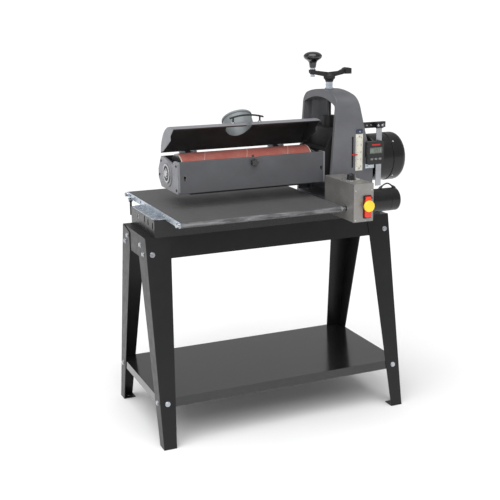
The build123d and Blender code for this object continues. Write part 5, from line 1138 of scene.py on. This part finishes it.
class SANDER_OT_stand_washers(bpy.types.Operator):
    """Flat washers under the heads of the stand's bolts"""

    bl_idname = "sander.stand_washers"
    bl_label = "Stand washers"

    def execute(self, context):
        half_wide = LEGS_HIGH.x
        foot, height = -LEGS_LOW.y, LEGS_HIGH.z
        slope = (foot - 0.131) / height
        normal = Vector((0, cos(atan2(slope, 1)), sin(atan2(slope, 1))))
        seats = []
        for sx in (-1, 1):
            for sy in (-1, 1):
                low = (foot - slope * 0.149 - 0.027, 0.149)
                for y, z in ((0.075, height - 0.030), (0.105, height - 0.056), low):
                    seats.append(((sx * half_wide, sy * y, z), (sx, 0, 0)))
                for x, z in ((half_wide - 0.020, height - 0.052), (half_wide - 0.026, 0.150)):
                    out = Vector((0, sy * normal.y, normal.z))
                    place = Vector((sx * x, sy * (foot - slope * z), z))
                    seats.append((place, out))
        bm = bmesh.new()
        outline = [(0.0042, -0.0004), (0.0088, -0.0004), (0.0090, 0.0002), (0.0090, 0.0010),
                   (0.0087, 0.0013), (0.0042, 0.0013)]
        ring(bm, outline, 24, (0, 0, 0))
        fittings("stand_washers", bm, seats, "bolt", "root")
        return {"FINISHED"}


class SANDER_OT_fan_cover(bpy.types.Operator):
    """The motor's fan cover with real air slots, and the fan behind them"""

    bl_idname = "sander.fan_cover"
    bl_label = "Fan cover"

    def execute(self, context):
        ribs = sizes().fan_ribs
        y, z = (FAN_LOW.y + FAN_HIGH.y) / 2, (FAN_LOW.z + FAN_HIGH.z) / 2
        radius = (FAN_HIGH.z - FAN_LOW.z) / 2
        end, mouth, wall, corner = FAN_HIGH.x, FAN_LOW.x, 0.003, 0.026
        outline = [(radius - wall, mouth), (radius - 0.0006, mouth), (radius, mouth + 0.0006)]
        for i in range(9):
            a = i / 8 * pi / 2
            outline.append((radius - corner + corner * cos(a), end - corner + corner * sin(a)))
        outline.append((0, end))
        inside = [(0, end - wall)]
        for i in range(8, -1, -1):
            a = i / 8 * pi / 2
            inside.append((radius - corner + (corner - wall) * cos(a),
                           end - corner + (corner - wall) * sin(a)))
        inside.append((radius - wall, mouth))
        bm = bmesh.new()
        turned(bm, outline[1:], 72, (0, 0, 0))
        turned(bm, inside, 72, (0, 0, 0))
        mouth_edges = [e for e in bm.edges if e.is_boundary]
        bmesh.ops.bridge_loops(bm, edges=mouth_edges)
        cutter = bmesh.new()
        for i in range(ribs):
            turn = Matrix.Rotation(2 * pi * i / ribs, 3, "Z")
            start = len(cutter.verts)
            slab(cutter, (0.022, -0.0024, end - 0.01), (0.052, 0.0024, end + 0.01))
            cutter.verts.ensure_lookup_table()
            bmesh.ops.rotate(cutter, verts=cutter.verts[start:], matrix=turn)
        cover = carved("fan cover", bm, cutter)
        place = Matrix.Translation((0, y, z)) @ Matrix.Rotation(pi / 2, 4, "Y")
        bmesh.ops.transform(cover, verts=cover.verts, matrix=place)
        made = bpy.data.meshes.new("vented_cover")
        cover.to_mesh(made)
        cover.free()
        piece = new_piece("vented_cover", made, "motor", "head")
        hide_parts("motor_fan_cover")
        bm = bmesh.new()
        hub = [(0, 0), (0.015, 0), (0.015, 0.016), (0.012, 0.018), (0, 0.018)]
        turned(bm, hub, 32, (mouth + 0.028, y, z), (1, 0, 0))
        for i in range(9):
            a = 2 * pi * i / 9
            start = len(bm.verts)
            slab(bm, (mouth + 0.029, 0.013, -0.001), (mouth + 0.047, 0.074, 0.001), 0.0004)
            bm.verts.ensure_lookup_table()
            blade = bm.verts[start:]
            bmesh.ops.rotate(bm, verts=blade, matrix=Matrix.Rotation(radians(25), 3, "Y"),
                             cent=(mouth + 0.038, 0, 0))
            bmesh.ops.rotate(bm, verts=blade, matrix=Matrix.Rotation(a, 3, "X"))
            bmesh.ops.translate(bm, verts=blade, vec=(0, y, z))
        shaped("motor_fan", bm, "plastic", "head")
        return {"FINISHED"}


class SANDER_OT_motor_bolts(bpy.types.Operator):
    """Bolts round the motor flange, rivets of the fan cover, screws of the feed motor"""

    bl_idname = "sander.motor_bolts"
    bl_label = "Motor bolts"

    def execute(self, context):
        y, z = (MOTOR_LOW.y + MOTOR_HIGH.y) / 2, (MOTOR_LOW.z + MOTOR_HIGH.z) / 2
        bm = cap_screw(0.0055, 0.006, 0.0028)
        seats = []
        for i in range(4):
            a = pi / 4 + i * pi / 2
            place = (MOTOR_LOW.x - 0.008, y + 0.066 * cos(a), z + 0.066 * sin(a))
            seats.append((place, (-1, 0, 0)))
        fittings("flange_bolts", bm, seats, "bolt", "head")
        bm = cross_head(0.0035, 0.0018, 0.0016, 0.003)
        seats = []
        radius = (FAN_HIGH.z - FAN_LOW.z) / 2
        for i in range(4):
            a = pi / 4 + i * pi / 2
            out = Vector((0, cos(a), sin(a)))
            place = Vector((FAN_LOW.x + 0.009, y, z)) + out * (radius - 0.0004)
            seats.append((place, out))
        fittings("fan_cover_screws", bm, seats, "bolt", "head")
        gy, gz = (GEAR_LOW.y + GEAR_HIGH.y) / 2, GEAR_LOW.z + 0.039
        bm = cross_head(0.0028, 0.0014, 0.0012, 0.003)
        seats = []
        for i in range(4):
            a = pi / 4 + i * pi / 2
            place = (GEAR_HIGH.x, gy + 0.020 * cos(a), gz + 0.020 * sin(a))
            seats.append((Vector(place) - Vector((0.0003, 0, 0)), (1, 0, 0)))
        fittings("feed_motor_screws", bm, seats, "bolt", "root", 0.2)
        return {"FINISHED"}


class SANDER_OT_head_fittings(bpy.types.Operator):
    """Nuts, rivets and screws on the head, cover and readout bar"""

    bl_idname = "sander.head_fittings"
    bl_label = "Head fittings"

    def execute(self, context):
        bm = cap_screw(0.0042, 0.0024, 0.0020)
        seats = []
        outer = PLATE_LOW.x + 0.0025
        for y, z in ((-0.090, -0.044), (-0.090, 0.036), (0.086, -0.016), (0.066, 0.034)):
            seats.append(((outer, y, DRUM_AXIS.z + z), (-1, 0, 0)))
        fittings("end_plate_screws", bm, seats, "oxide", "head")
        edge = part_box("drum_bearings")[0].x
        rings = (("bearing_race", "steel", ((0.0262, 0.0315), (0.0130, 0.0162)), 0.0006),
                 ("bearing_seal", "rubber", ((0.0170, 0.0254),), 0.0002))
        for name, look, bands, rise in rings:
            bm = bmesh.new()
            for near, far in bands:
                outline = [(near, -0.0004), (far, -0.0004), (far, rise - 0.0002),
                           (far - 0.0003, rise), (near + 0.0003, rise), (near, rise - 0.0002)]
                ring(bm, outline, 48, (edge, DRUM_AXIS.y, DRUM_AXIS.z), (-1, 0, 0))
            shaped(name, bm, look, "head")
        bm = cap_screw(0.0026, 0.0018, 0.0013)
        seats = []
        for x in (0.372, 0.389, 0.440):
            seats.append(((x, BAR_HIGH.y - 0.012, BAR_HIGH.z - 0.010), (0, -1, 0)))
        fittings("bar_screws", bm, seats, "bolt", "head")
        bm = bmesh.new()
        clamp_low, clamp_high = STRIP_LOW.x - 0.003, STRIP_HIGH.x + 0.003
        front = STRIP_LOW.y - 0.006
        under = BAR_HIGH.z - 0.0195
        slab(bm, (clamp_low, front, under), (clamp_high, STRIP_HIGH.y, BAR_HIGH.z + 0.002), 0.0012)
        shaped("strip_clamp", bm, "oxide", "head")
        bm = cap_screw(0.0038, 0.0026, 0.0017)
        seats = [((x, front, BAR_HIGH.z - 0.009), (0, -1, 0))
                 for x in (STRIP_LOW.x + 0.003, STRIP_HIGH.x - 0.003)]
        fittings("clamp_screws", bm, seats, "bolt", "head")
        bm = bmesh.new()
        turned(bm, [(0, -0.0004), (0.0026, -0.0004), (0.0024, 0.0006), (0.0014, 0.0013),
                    (0, 0.0015)], 16)
        seats = []
        for x in (-0.257, -0.211, 0.077, 0.121):
            for along in (0.004, 0.0105):
                place = Vector((x, 0.06275 + along * 0.80, DRUM_AXIS.z + 0.050 - along * 1.175))
                seats.append((place, Vector((0, 1.47, 1)).normalized()))
        fittings("hinge_rivets", bm, seats, "zinc", "head")
        centre, radius = cover_arc()
        bm = bmesh.new()
        bmesh.ops.create_cone(bm, cap_ends=True, segments=6, radius1=0.0058, radius2=0.0058,
                              depth=0.004, matrix=Matrix.Translation((0, 0, 0.0023)))
        ring(bm, [(0.003, 0), (0.0072, 0), (0.0072, 0.0008), (0.003, 0.0008)], 20, (0, 0, 0))
        out = handle_way()
        seats = [(Vector((x, centre.y, centre.z)) + out * radius, out) for x in (-0.108, -0.010)]
        fittings("handle_nuts", bm, seats, "bolt", "cover")
        return {"FINISHED"}


class SANDER_PT_panel(bpy.types.Panel):
    """The sander's sizes, colours and pieces"""

    bl_idname = "SANDER_PT_panel"
    bl_label = "Drum sander"
    bl_space_type = "VIEW_3D"
    bl_region_type = "UI"
    bl_category = "Sander"

    def draw(self, context):
        column = self.layout.column()
        for group in (context.scene.sander_sizes, context.scene.sander_colours):
            for name in group.__annotations__:
                column.prop(group, name)
        for operator in OPERATORS:
            column.operator(operator.bl_idname)


OPERATORS = (
    SANDER_OT_stage,
    SANDER_OT_finishes,
    SANDER_OT_cable,
    SANDER_OT_lead_screw,
    SANDER_OT_springs,
    SANDER_OT_depth_scale,
    SANDER_OT_speed_dial,
    SANDER_OT_panel_screws,
    SANDER_OT_readout,
    SANDER_OT_stand_washers,
    SANDER_OT_fan_cover,
    SANDER_OT_motor_bolts,
    SANDER_OT_head_fittings,
)
CLASSES = (SanderSizes, SanderColours, *OPERATORS, SANDER_PT_panel)


def register():
    for cls in CLASSES:
        bpy.utils.register_class(cls)
    bpy.types.Scene.sander_sizes = PointerProperty(type=SanderSizes)
    bpy.types.Scene.sander_colours = PointerProperty(type=SanderColours)


def unregister():
    del bpy.types.Scene.sander_colours
    del bpy.types.Scene.sander_sizes
    for cls in reversed(CLASSES):
        bpy.utils.unregister_class(cls)


def main():
    """Makes the whole scene."""
    register()
    for operator in OPERATORS:
        group, name = operator.bl_idname.split(".")
        getattr(getattr(bpy.ops, group), name)()


if __name__ == "__main__":
    main()
